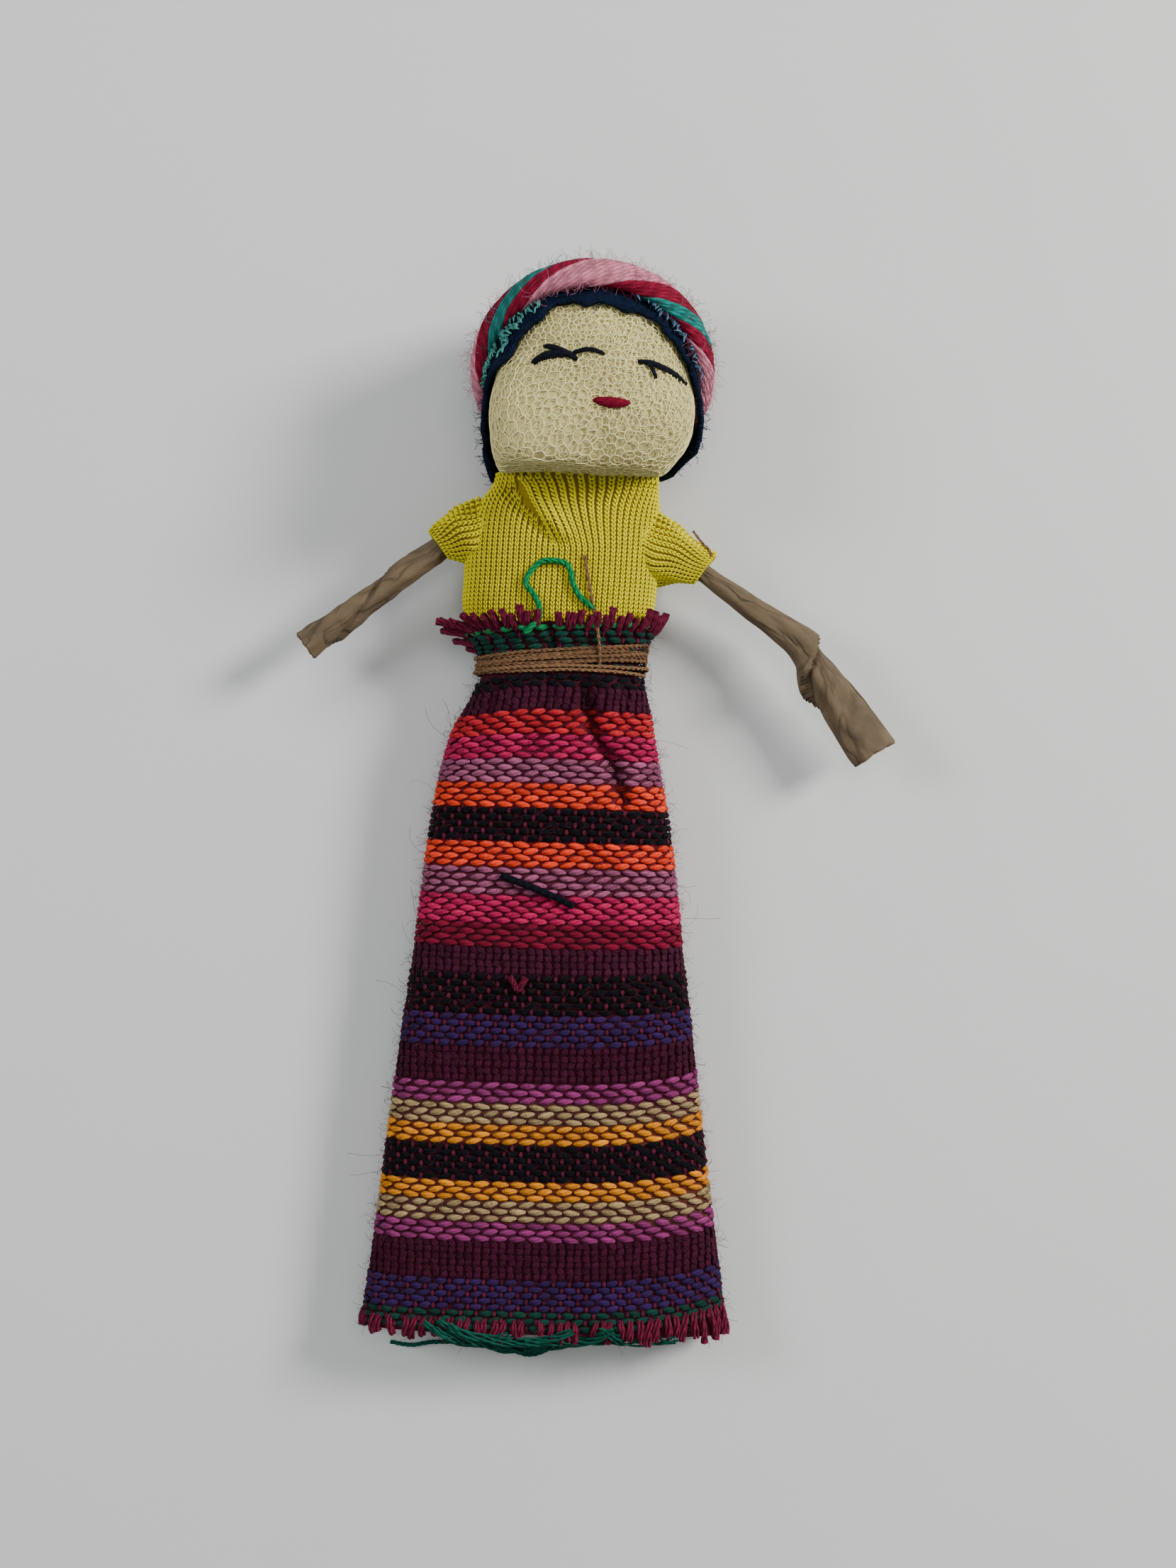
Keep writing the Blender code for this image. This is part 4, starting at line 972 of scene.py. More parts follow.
fringe = {
    "seed": 4, "topReach": 24.0, "topStep": 1.02, "topHeight": 25.4, "topLength": 2.3,
    "slit": (-0.9, 0.7),  # middle and half width of the gap in front
    "loose": [(-13.6, 24.2, 4.2, -1.6, 1.6), (-13.2, 23.0, 4.0, -2.2, 1.2),  # arc, height, length,
              (-14.0, 22.2, 3.6, -2.8, .8), (-12.6, 24.8, 4.6, -1.2, 1.9)],  # lean, curl
    "hemReach": 58.0, "hemStep": 1.25, "hemHeight": -70.3, "hemEnd": 72.1, "hemRagged": 1.3,
    "hemMissing": 0.14}


def makeFringes(source):
    tufts = []
    for s in np.arange(-fringe["topReach"], fringe["topReach"], fringe["topStep"]):
        if abs(s - fringe["slit"][0]) < fringe["slit"][1]:
            continue
        left = clamp((-s - 5) / 7)  # longer and looser toward the viewer's left
        long = fringe["topLength"] + left + source.uniform(-.4, .7)
        tufts.append((s + source.uniform(-.15, .15),
                      fringe["topHeight"] + source.uniform(-.3, .3) - 0.8 * left, long,
                      -0.2 * source.random() - 0.75 * left + 0.1, 0.25 + 0.9 * left))
    top = edgeTufts("skirt_top_fringe", tufts + fringe["loose"], threadFinishes["maroon_warp"])
    hems = []
    for s in np.arange(-fringe["hemReach"], fringe["hemReach"], fringe["hemStep"]):
        if source.random() < fringe["hemMissing"]:
            continue
        rise = float(rowRise(np.array([s]), np.array([-70.5]))[0]) if abs(s) < 27 else 0.0
        start = fringe["hemHeight"] + max(0.0, min(rise, 3.2))
        hems.append((s + source.uniform(-.2, .2), start,
                     -(start + fringe["hemEnd"] + source.random() ** 1.8 * fringe["hemRagged"]),
                     source.uniform(-.22, .22), 0.1))
    return top, edgeTufts("skirt_hem_fringe", hems, threadFinishes["maroon_warp"], 4)


collar = {"missing": 0.12, "dots": 0.4, "rows": [  # height, dye, kind of float
    (21.9, "deepGreen", "fuzzy"), (22.75, "deepGreen", "fuzzy"), (23.6, "deepGreen", "fuzzy"),
    (24.4, "deepGreen", "fuzzy"), (25.3, "leafGreen", "float"), (20.2, "deepGreen", "fuzzy")]}


def makeCollarWeft(source):
    floats = []
    for r, (y, name, kind) in enumerate(collar["rows"]):
        period, length, width, height = weave["kinds"][kind]
        reach = float(skirtHalf(y))
        slant = r / 5 if r < 5 else 0  # upper rows slant more
        for s in np.arange(-reach, reach, period):
            s = s + 0.5 * period * (r % 2)
            if name == "leafGreen" and source.random() < collar["missing"]:
                continue
            rowY = y + (0.9 * clamp((s + 2) / 12) - 1.2 * clamp((-s - 4) / 9)) * slant
            spot, side, rise, out = oneSpot(skirtAt, s, rowY, 0.1)
            tilt = source.uniform(-.2, .2)
            floats.append((spot, eulerOf(side + rise * tilt, rise - side * tilt, out),
                           (length * .9 * mm, width * mm, height * mm),
                           jittered(dye[name], source, 0.25), source.random()))
            if name == "deepGreen" and source.random() < collar["dots"]:
                spot, side, rise, out = oneSpot(skirtAt, s + 0.5 * period, rowY, 0.2)
                floats.append((spot, eulerOf(rise, -side, out), (.8 * mm, .45 * mm, .5 * mm),
                               jittered(dye["warp"], source, 0.3), source.random()))
    return grow("skirt_collar_weft", coverPoints("collarSpots", floats), clothCover,
                {"Stitch": floatStitch, "Finish": clothFinish})


edgeSource = random.Random(fringe["seed"])
topFringe, hemFringe = makeFringes(edgeSource)
collarWeft = makeCollarWeft(edgeSource)


def fuzz(name, piece, density, length, seed, finish=fuzzFinish, thickness=0.014, lean=1.0):
    return grow(name, piece.data.copy(), strayFibres, {
        "Density": density, "Length": length * mm, "Thickness": thickness * mm, "Lean": lean,
        "Seed": seed, "Finish": finish})


skirtFibres = {  # fibres per square metre, length, seed, thickness, lean
    "skirt_fuzz": (900000.0, 1.8, 2, 0.02, 1.0), "skirt_short_fuzz": (900000.0, 1.2, 44, 0.022, 1.2),
    "skirt_long_fuzz": (45000.0, 4.6, 12, 0.02, 1.3)}
skirtDress = [skirtWeft, skirtWeftBack, topFringe, hemFringe, collarWeft]
for name, (density, length, seed, thickness, lean) in skirtFibres.items():
    skirtDress.append(fuzz(name, skirtSheet, density, length, seed, thickness=thickness, lean=lean))
for piece in skirtDress:
    place(piece, "root", "striped_cloth")
place(skirtSheet, "root", "striped_cloth", "skirt")
print("doll: skirt made")


# shirt
def shirtRelief(s, y):
    relief = 0.22 * waves(s, y, 12, 6.0)
    relief = relief + foldLine(s, y, [(-8.6, 44.0), (-4.9, 40.3), (-1.4, 37.1)], 0.8, 0.9) \
        * np.clip((y - 36.0) / 2.5, 0, 1)
    relief = relief - foldLine(s, y, [(-7.4, 45.6), (-3.5, 41.8), (0.2, 38.2)], 1.0, 0.9)
    relief = relief - foldLine(s, y, [(-8.0, 46.0), (-2.0, 46.4), (12.0, 46.0)], 0.6, 0.5)
    return relief


shirtAt, shirtHalf = clothSurface(torsoSection, 17.0, 46.6, relief=shirtRelief)
knit = {"seed": 11, "wale": 0.78, "course": 0.575, "low": 24.0, "high": 46.5, "height": 0.8}
shirtCloth = {"low": 17.2, "high": 46.7, "step": 0.5, "columns": 110, "sink": 0.3,
              "flat": (0.066, 0.0296)}  # flat size in metres


def pleatTop(x):  # height where a wale goes under the folded pleat
    return 44.0 - (x + 8.0) * 0.93 if -8.0 <= x < -1.0 else knit["high"]


def fan(x, y):  # how far the wales lean over toward the collar
    rise = clamp((y - 36.3) / 9.7) ** 1.25
    if x >= -1.0:
        return -6.6 * math.exp(-((x + 1.0) / 6.0) ** 2) * rise
    return 0.0


def makeShirt():
    source = random.Random(knit["seed"])
    front, back = [], []
    for w in range(-48, 49):
        x = w * knit["wale"]
        for r in range(int((knit["high"] - knit["low"]) / knit["course"]) + 1):
            y = knit["low"] + r * knit["course"]
            if y > pleatTop(x):
                continue
            s = x + fan(x, y)
            if abs(s) > float(shirtHalf(y)):
                continue
            ahead = x + fan(x, y + 0.5)
            lean = (ahead - s) / 0.5
            spread = (x + knit["wale"] + fan(x + knit["wale"], y) - s) / knit["wale"]
            if x < -1.0:
                spread = 1.0
            spot, side, rise, out = oneSpot(shirtAt, s, y, 0.02)
            rise = rise + side * lean
            rise /= np.linalg.norm(rise)
            side = np.cross(rise, out)
            size = (knit["wale"] * min(1.5, max(0.7, spread)) * mm,
                    knit["course"] * math.hypot(1, lean) * 1.12 * mm, knit["height"] * mm)
            (front if out[2] > -0.1 else back).append(
                (spot, eulerOf(side, rise, out), size, dye["yellow"], source.random()))
    print("doll: shirt stitches", len(front), len(back))
    return [grow(name, coverPoints(name + "_spots", rows), clothCover,
                 {"Stitch": knitStitch, "Finish": jerseyFinish})
            for name, rows in (("shirt_knit", front), ("shirt_knit_back", back))]


shirtKnit, shirtKnitBack = makeShirt()
# the sheet under the knit stitches is darker yellow: painted shade in the gaps between stitches
jerseyShadeFinish = yarnFinish("yellow_jersey_painted_shade", colour=dye["jerseyShade"], plyDepth=0.0)
# its yarnColour, half the yellow, is painted shade as well
shirtSheet = clothSheet("shirt_cloth", shirtAt, shirtHalf,
                        np.arange(shirtCloth["low"], shirtCloth["high"], shirtCloth["step"]),
                        shirtCloth["columns"], -shirtCloth["sink"], jerseyShadeFinish,
                        lambda y: tuple(0.5 * c for c in dye["yellow"][:3]) + (1.0,))
shirtFuzz = fuzz("shirt_fuzz", shirtSheet, 500000.0, 0.8, 5,
                 yarnFinish("yellow_fuzz", colour=dye["yellow"], plyDepth=0.0, bump=0.00001),
                 thickness=0.012)
print("doll: shirt made")


# sleeves
sleeves = {  # sizes: share of the length, half height, half depth; flat in metres, area in square metres
    "right": {"root": (-11.0, 39.2, 7.6), "cuff": (-17.2, 36.9, 7.45), "ahead": (-.797, -.605),
              "sizes": [(0, 4.2, 3.9), (.4, 4.3, 3.9), (.75, 3.3, 3.0), (1, 2.3, 2.2)],
              "pivot": (-14.2, 38.7, 7.45), "split": 0.5, "follow": 3.0, "stitches": 30,
              "flat": (0.024, 0.010), "area": 0.00012},
    "left": {"root": (10.8, 37.6, 7.6), "cuff": (19.5, 34.5, 7.45), "ahead": (.817, -.576),
             "sizes": [(0, 5.0, 4.1), (.35, 4.6, 4.0), (.7, 3.2, 3.0), (1, 2.45, 2.3)],
             "pivot": (14.2, 37.6, 7.45), "split": 0.8, "follow": 4.5, "stitches": 32,
             "flat": (0.024, 0.010), "area": 0.00014}}


def sleeveRing(shape, t, turn, lift=0.0):
    wide, deep = along(shape["sizes"], t)
    swell = 1 + 0.05 * math.sin(3 * turn + 7 * t) + 0.04 * math.sin(5 * turn - 6 * t)
    ahead = Vector((*shape["ahead"], 0))
    ahead = Vector((math.copysign(1, ahead.x), 0, 0)).lerp(ahead, t**0.7).normalized()
    level = Vector((-ahead.y, ahead.x, 0))
    if level.y < 0:
        level = -level
    around = level * math.cos(turn) * (wide * swell + lift) + Vector((0, 0, 1)) * math.sin(turn) \
        * (deep * swell + lift)
    return Vector(shape["root"]).lerp(Vector(shape["cuff"]), t) + around, ahead, around.normalized()


# the sheet inside the sleeve's stitches, in the darker yellow of painted shade
def sleeveLining(name, shape, low, high):
    points, columns, stations = [], 40, np.linspace(low, high, 11)
    for t in stations:
        for j in range(columns):
            points.append(sleeveRing(shape, t, 2 * math.pi * j / columns, -0.3)[0] * mm)
    shadeSheet = meshPiece(name, points, quadRows(len(stations), columns), jerseyShadeFinish)
    middle = Vector(shape["root"]).lerp(Vector(shape["cuff"]), low) * mm
    turnOutward(shadeSheet, lambda faces: (faces[0].calc_center_median() - middle).dot(faces[0].normal) < 0)
    return shadeSheet


def makeSleeve(side, shape):
    source = random.Random(len(side))
    inner, outer = [], []
    root, cuff, pivot = Vector(shape["root"]), Vector(shape["cuff"]), Vector(shape["pivot"])
    ahead = Vector((*shape["ahead"], 0))
    split = (shape["split"] - (root - pivot).dot(ahead)) / (cuff - root).dot(ahead)
    courses = int((cuff - root).length / 0.56)
    for k in range(courses + 1):
        t = k / courses
        wide, deep = along(shape["sizes"], t)
        girth = math.pi * (wide + deep)
        for j in range(shape["stitches"]):
            turn = 2 * math.pi * j / shape["stitches"] + 0.04 * math.sin(9 * t)
            spot, _, out = sleeveRing(shape, t, turn)
            slope = (sleeveRing(shape, min(1, t + .05), turn)[0]
                     - sleeveRing(shape, max(0, t - .05), turn)[0]).normalized()
            level = slope.cross(out).normalized()
            out = level.cross(slope)
            (inner if t < split else outer).append(
                (spot, eulerOf(slope.cross(out), slope, out),
                 (girth / shape["stitches"] * mm, 0.66 * mm, 0.75 * mm), dye["yellow"], source.random()))
    innerKnit = grow(side + "_sleeve_knit", coverPoints(side + "InnerSpots", inner), clothCover,
                     {"Stitch": knitStitch, "Finish": jerseyFinish})
    outerKnit = grow(side + "_cuff_knit", coverPoints(side + "OuterSpots", outer), clothCover,
                     {"Stitch": knitStitch, "Finish": jerseyFinish})
    shadeSheet = sleeveLining(side + "_sleeve_cloth", shape, 0.0, split + 0.03)
    cuffShadeSheet = sleeveLining(side + "_cuff_cloth", shape, split - 0.03, 1.0)
    for piece in (innerKnit, shadeSheet):
        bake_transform(piece)
    for piece in (outerKnit, cuffShadeSheet):
        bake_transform(piece)
    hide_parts(side + "_sleeve")


for piece in (shirtKnit, shirtKnitBack, shirtFuzz):
    place(piece, "root", "yellow_jersey")
place(shirtSheet, "root", "yellow_jersey", "shirt")
for sideName, shape in sleeves.items():
    makeSleeve(sideName, shape)
print("doll: sleeves made")


# stuffing inside the shirt
filling = {"low": 17.6, "high": 40.8, "rings": 12, "columns": 36, "inset": 1.3, "fill": 0.8}


def makeTorsoPad():
    points, columns = [], filling["columns"]
    for y in np.linspace(filling["low"], filling["high"], filling["rings"]):
        for j in range(columns):
            x, z = ovalPoint(torsoSection(float(y)), 2 * math.pi * j / columns, -filling["inset"])
            points.append(Vector((x, y, z)) * mm)
    faces = quadRows(filling["rings"], columns, turned=True)
    faces += [list(range(columns)), [len(points) - 1 - c for c in range(columns)]]
    return meshPiece("torso_stuffing", points, faces, padFinish)


torsoPad = place(makeTorsoPad(), "root", "cream_stuffing", "torso_padding")


# head
head = {"centre": Vector((3.4, 59.9, 13.9)), "upper": (12.9, 13.0), "lower": (14.4, 15.4),
        "depth": 12.3, "chin": 13.3, "padInset": 0.35, "fill": 0.9}
eyeDents = [(-4.4, 59.9), (1.3, 60.5), (-2.8, 62.0), (4.7, 61.1), (9.6, 60.3), (15.7, 58.6),
            (11.9, 58.4), (3.9, 54.9), (8.1, 54.7)]


def headPoint(direction, grow=0.0):  # squarish at the chin, round at the crown
    d = direction.normalized()
    w = clamp((-d.y + 0.15) / 0.6)
    w = w * w * (3 - 2 * w)
    a = head["upper"][0] + (head["lower"][0] - head["upper"][0]) * w
    b = head["upper"][1] + (head["lower"][1] - head["upper"][1]) * w
    square = w * clamp((-d.x + 0.1) / 0.5)
    a *= 1 - 0.06 * square
    p = 2.05 + 0.75 * w + 3.2 * square
    reach = 1 / ((abs(d.x) / a) ** p + (abs(d.y) / b) ** p + (abs(d.z) / head["depth"]) ** p) ** (1 / p)
    spot = d * reach
    if spot.y < -head["chin"]:
        spot.y = -head["chin"] + (spot.y + head["chin"]) * 0.15
    spot += d * grow
    wobble = noise.noise(spot * 0.22) * 0.35
    spot += d * wobble
    if spot.z > 0:
        for x, y in eyeDents:
            away = math.hypot(spot.x + head["centre"].x - x, spot.y + head["centre"].y - y)
            spot.z -= 0.45 * math.exp(-(away / 0.9) ** 2)
    return head["centre"] + spot


def headBall(name, spots, grow, jitter, seed, finish=None):
    shape = bmesh.new()
    source = random.Random(seed)
    if spots:
        for k in range(spots):
            level, turn = 1 - (2 * k + 1) / spots, k * 2.39996323
            shape.verts.new(Vector((math.cos(turn) * math.sqrt(1 - level * level),
                                    math.sin(turn) * math.sqrt(1 - level * level), level))
                            + Vector([source.gauss(0, jitter) for _ in range(3)])).co.normalize()
        bmesh.ops.convex_hull(shape, input=shape.verts[:])
        jitter = 0.0
    else:
        bmesh.ops.create_icosphere(shape, subdivisions=5, radius=1.0)
    spin = Matrix.Rotation(seed * 0.7, 3, Vector((0.3, 0.5, 0.8)).normalized())
    for v in shape.verts:
        nudge = Vector((source.gauss(0, 1), source.gauss(0, 1), source.gauss(0, 1))) * jitter
        v.co = headPoint(spin @ v.co + nudge, grow) * mm
    mesh = bpy.data.meshes.new(name)
    shape.to_mesh(mesh)
    shape.free()
    mesh.shade_smooth()
    if finish:
        mesh.materials.append(finish)
    return mesh


headPad = bpy.data.objects.new("head_stuffing_ball", headBall("head_stuffing_ball", 0,
                                                              -head["padInset"], 0.0, 1, padFinish))
bpy.context.collection.objects.link(headPad)
place(headPad, "head", "cream_stuffing", "head_stuffing")
faceTree = BVHTree.FromPolygons([v.co for v in headBall("probe", 0, 0.0, 0.0, 1).vertices],
                                [p.vertices for p in headPad.data.polygons])
nets = {  # cells, height over the head, jitter, seed, thread radius, sides
    "face_net_outer": (1750, 0.05, 0.022, 3, 0.078, 5),
    "face_net_inner": (2100, -0.1, 0.024, 8, 0.06, 4),
    "face_net_fine": (3200, -0.02, 0.02, 14, 0.035, 4)}
for name, (cells, height, jitter, seed, radius, sides) in nets.items():
    net = grow(name, headBall(name + "_cells", cells, height, jitter, seed), netting,
               {"Thread Radius": radius * mm, "Sides": sides, "Finish": netFinish})
    place(net, "head", "cream_net", *(["face_net"] if name == "face_net_outer" else []))


hairCloth = {"pole": Vector((0, -0.5, 0.866)), "rings": 34, "columns": 110, "wall": 0.6, "lowest": 0.25,
             "flat": (0.050, 0.036), "area": 0.00165,  # metres, square metres
             "opening": [(-180, 90), (-150, 87), (-125, 78), (-100, 67), (-75, 61), (-52, 62), (-25, 66),
                         (0, 62), (30, 65), (60, 68), (90, 73), (120, 82), (150, 88), (180, 90)]}
hairTurn = hairCloth["pole"].to_track_quat("Z", "Y").to_matrix()


def hairOpening(phi):  # how far the hair's edge lies from the middle of the face
    wide = along(hairCloth["opening"], math.degrees(phi))[0]
    return math.radians(wide + 1.2 * math.sin(11 * phi) + 0.8 * math.sin(23 * phi + 1))


def makeHair():
    points, rings, columns = [], hairCloth["rings"], hairCloth["columns"]
    for r in range(rings):
        for c in range(columns):
            phi = 2 * math.pi * c / columns
            local = Vector((math.sin(phi), -math.cos(phi), 0))
            upward = hairTurn @ local
            spread = math.atan2(upward.x, upward.y)
            start = hairOpening(spread)
            theta = start + (math.pi - start) * r / rings
            direction = hairTurn @ Vector((local.x * math.sin(theta), local.y * math.sin(theta),
                                           math.cos(theta)))
            puff = 0.55 + 0.35 * noise.noise(direction * 6) + 0.25 * noise.noise(direction * 25)
            low = clamp((-0.2 - direction.y) / 0.4)
            puff += low * (0.5 if direction.x < 0 else 0.3) * (1 + 0.8 * noise.noise(direction * 14))
            spot = headPoint(direction, puff)
            spot.z = max(spot.z, hairCloth["lowest"])
            points.append(spot * mm)
    faces = quadRows(rings, columns)
    last = (rings - 1) * columns
    points.append(headPoint(-hairCloth["pole"], 0.5) * mm)
    for c in range(columns):
        faces.append((last + c, last + (c + 1) % columns, len(points) - 1))
    piece = meshPiece("hair_cap_cloth", points, faces, hairFinish)
    turnOutward(piece, lambda faces: min(faces, key=lambda f: f.calc_center_median().z).normal.z > 0)
    wall = piece.modifiers.new("wall", "SOLIDIFY")
    wall.thickness, wall.offset = hairCloth["wall"] * mm, 1.0
    return piece


hair = makeHair()
navyFuzzFinish = yarnFinish("navy_fuzz", colour=dye["navy"], plyDepth=0.0, bump=0.00001)
hairFuzz = fuzz("hair_fuzz", hair, 2600000.0, 1.5, 7, navyFuzzFinish, thickness=0.035, lean=1.25)
place(hair, "head", "navy_hair_cloth", "hair_cap")
place(hairFuzz, "head", "navy_hair_cloth")
flecks = {  # finish, number, from and to which angle round the hair's edge
    "hair_flecks_left": ("teal_fleck", 44, 118, 176), "hair_flecks_right": ("sky_fleck", 44, 4, 70)}
fleckSource = random.Random(17)
for name, (finish, count, low, high) in flecks.items():
    routes = []
    for _ in range(count):
        phi = math.radians(fleckSource.uniform(low, high))
        level = Vector((math.cos(phi), math.sin(phi), 0))
        flat = hairTurn.inverted() @ Vector((level.x, level.y * 0.866, level.y * 0.5))
        flat.z = 0
        flat.normalize()
        theta = hairOpening(math.atan2(level.x, level.y)) + math.radians(fleckSource.uniform(.5, 11))
        lean = fleckSource.uniform(-.05, .05)
        route = []
        for k in range(4):
            direction = hairTurn @ Vector((flat.x * math.sin(theta), flat.y * math.sin(theta),
                                           math.cos(theta)))
            route.append(headPoint(direction, 1.75 + 0.3 * math.sin(2.2 * k)) * mm)
            theta += 0.036
            flat = (flat + Vector((-flat.y, flat.x, 0)) * lean).normalized()
        routes.append(route)
    place(yarn(name, routes, threadFinishes[finish], strands=2, radius=0.075, spread=0.1,
               twist=900.0, wobble=0.15, step=0.3, sides=4), "head", "navy_hair_cloth")
print("doll: head made")


# headband, a rope of three colours
band = {"slope": 39.0, "tuck": 0.7, "stack": 2.4, "radial": 1.15, "across": 2.4, "strand": 0.42,
        "twists": -3.58, "start": 1.67, "lengths": 120, "core": 0.75,
        "colours": [  # name, finish, first angle, sweep, strands
                    ("headband_red", "red_yarn", 0.0, 1.35, 4),
                    ("headband_pink", "pink_yarn", 1.35, 2.75, 8),
                    ("headband_red_under", "red_yarn", 4.1, 1.1, 3),
                    ("headband_teal", "teal_yarn", 5.2, 1.08, 3)]}


def makeBand():
    slope = math.radians(band["slope"])
    tilt = Vector((0, math.cos(slope), math.sin(slope)))
    route = []
    for i in range(band["lengths"] + 1):
        turn = 2 * math.pi * i / band["lengths"] - math.pi / 2
        out = Vector((math.cos(turn), 0, 0)) + tilt * math.sin(turn)
        if math.sin(turn) < 0:
            out.y *= band["tuck"]
        d = out.normalized()
        reach = 1 / math.sqrt((d.x / 12.7) ** 2 + (d.y / 13.0) ** 2 + (d.z / 12.3) ** 2) + band["stack"]
        route.append((head["centre"] + d * reach) * mm)
    total = sum((b - a).length for a, b in zip(route, route[1:]))
    pieces = []
    for name, finish, first, sweep, strands in band["colours"]:
        piece = yarn(name + "_yarns", [route], threadFinishes[finish], strands=strands,
                     radius=band["strand"], spread=band["radial"], across=band["across"],
                     twist=band["twists"] * 2 * math.pi / total, first=first + band["start"],
                     sweep=sweep, wobble=0.35, centre=tuple(head["centre"] * mm), step=0.7, sides=7)
        place(piece, "head", finish, *([name] if name in frame["nodes"] else []))
        pieces.append(piece)
    core = yarn("headband_core", [route], threadFinishes["red_yarn"], strands=5, radius=band["core"],
                spread=band["radial"] - 0.6, across=band["across"] - 0.7, twist=200.0,
                centre=tuple(head["centre"] * mm), step=1.5)
    place(core, "head", "red_yarn")
    return pieces


bandPieces = makeBand()
for k, (piece, label) in enumerate(zip(bandPieces, ("red", "pink", "red", "teal"))):
    wool = fuzz("headband_fuzz_" + label + str(k), piece, 1300000.0, 1.5, 20 + k,
                yarnFinish(label + "_fuzz" + str(k), colour=dye[label], plyDepth=0.0, bump=0.00001),
                thickness=0.018)
    place(wool, "head", label + "_yarn")
print("doll: headband made")


# face stitches
def onFace(x, y, lift):
    hit = faceTree.ray_cast(Vector((x, y, 60)) * mm, Vector((0, 0, -1)))[0]
    return hit + Vector((0, 0, lift * mm)) if hit else Vector((x, y, 25)) * mm


faceLines = {  # thread, strands, strand radius, half width, spots
    "right_eye_stitch": ("black_thread", 4, .26, .42, [(-4.5, 59.7), (-3.6, 60.3), (-2.6, 60.65),
                                                     (-1.1, 60.9), (0.2, 60.8), (1.3, 60.2)]),
    "right_lash_stitch": ("black_thread", 3, .24, .3, [(-3.0, 62.1), (-1.9, 61.75), (-.7, 61.25),
                                                      (0.6, 60.8)]),
    "right_corner_stitch": ("black_thread", 2, .22, .18, [(0.7, 61.0), (2.2, 61.4), (3.6, 61.35),
                                                       (4.85, 60.95)]),
    "left_eye_stitch": ("black_thread", 3, .23, .28, [(9.4, 60.3), (11.0, 60.25), (12.8, 59.85),
                                                     (14.5, 59.3), (15.9, 58.4)]),
    "left_lash_stitch": ("black_thread", 2, .2, .16, [(10.2, 60.4), (11.2, 59.6), (11.8, 58.3)]),
    "mouth_stitch": ("crimson_thread", 6, .2, .62, [(3.7, 54.95), (4.8, 54.75), (5.9, 54.6),
                                                    (7.1, 54.6), (8.3, 54.75)]),
}


def satin(spots, strands, halfWidth):  # strands side by side, fullest in the middle
    routes = []
    for k in range(strands):
        share = (k + 0.5) / strands * 2 - 1
        line = smoothRoute([(x, y - 0.55, 0) for x, y in spots], 5)
        route = []
        for i, spot in enumerate(line):
            t = i / (len(line) - 1)
            ahead = (line[min(i + 1, len(line) - 1)] - line[max(i - 1, 0)]).normalized()
            bulge = math.sin(math.pi * min(1, max(0, t))) ** 0.6
            spot = spot + Vector((-ahead.y, ahead.x, 0)) * share * halfWidth * bulge
            crown = (0.34 * (1 - share * share) + 0.12) * min(1.0, bulge * 1.4) - 0.02
            route.append(onFace(spot.x, spot.y, crown))
        routes.append(route)
    return routes


for name, (finish, strands, radius, halfWidth, spots) in faceLines.items():
    piece = yarn(name + "_yarn", satin(spots, strands, halfWidth), threadFinishes[finish],
                 strands=1, radius=radius, spread=0.0, twist=0.0, wobble=0.08, step=0.3)
    nodes = (name,) if name in frame["nodes"] else ()
    place(piece, "head", finish, *nodes)


# arms of twisted paper
arms = {  # path: x, y; wide: share of the length, half width, half depth
    "right": {"path": [(-14.9, 38.2), (-18.34, 35.56), (-22.5, 32.4), (-26.07, 29.69), (-30.8, 26.1),
                       (-35.6, 22.3)],
              "wide": [(0, 1.45, 1.45), (.3, 1.65, 1.6), (.6, 1.7, 1.6), (.85, 1.85, 1.7),
                       (1, 2.15, 1.9)],
              "z": 7.45, "slit": 0.55, "spiral": 6.0, "snap": 0.0, "seed": 3, "open": 0.1},
    "left": {"path": [(16.2, 36.2), (19.59, 33.80), (26.0, 29.4), (32.2, 24.9), (35.6, 21.0),
                      (39.4, 15.9), (44.1, 9.3)],
             "wide": [(0, 1.15, 1.15), (.2, 1.35, 1.3), (.42, 1.7, 1.6), (.6, 2.1, 1.6), (.8, 2.95, 1.5),
                      (1, 3.1, 1.45)],
             "z": 7.45, "slit": 0.6, "spiral": 5.5, "snap": 1.3, "seed": 8, "open": 0.75},
}


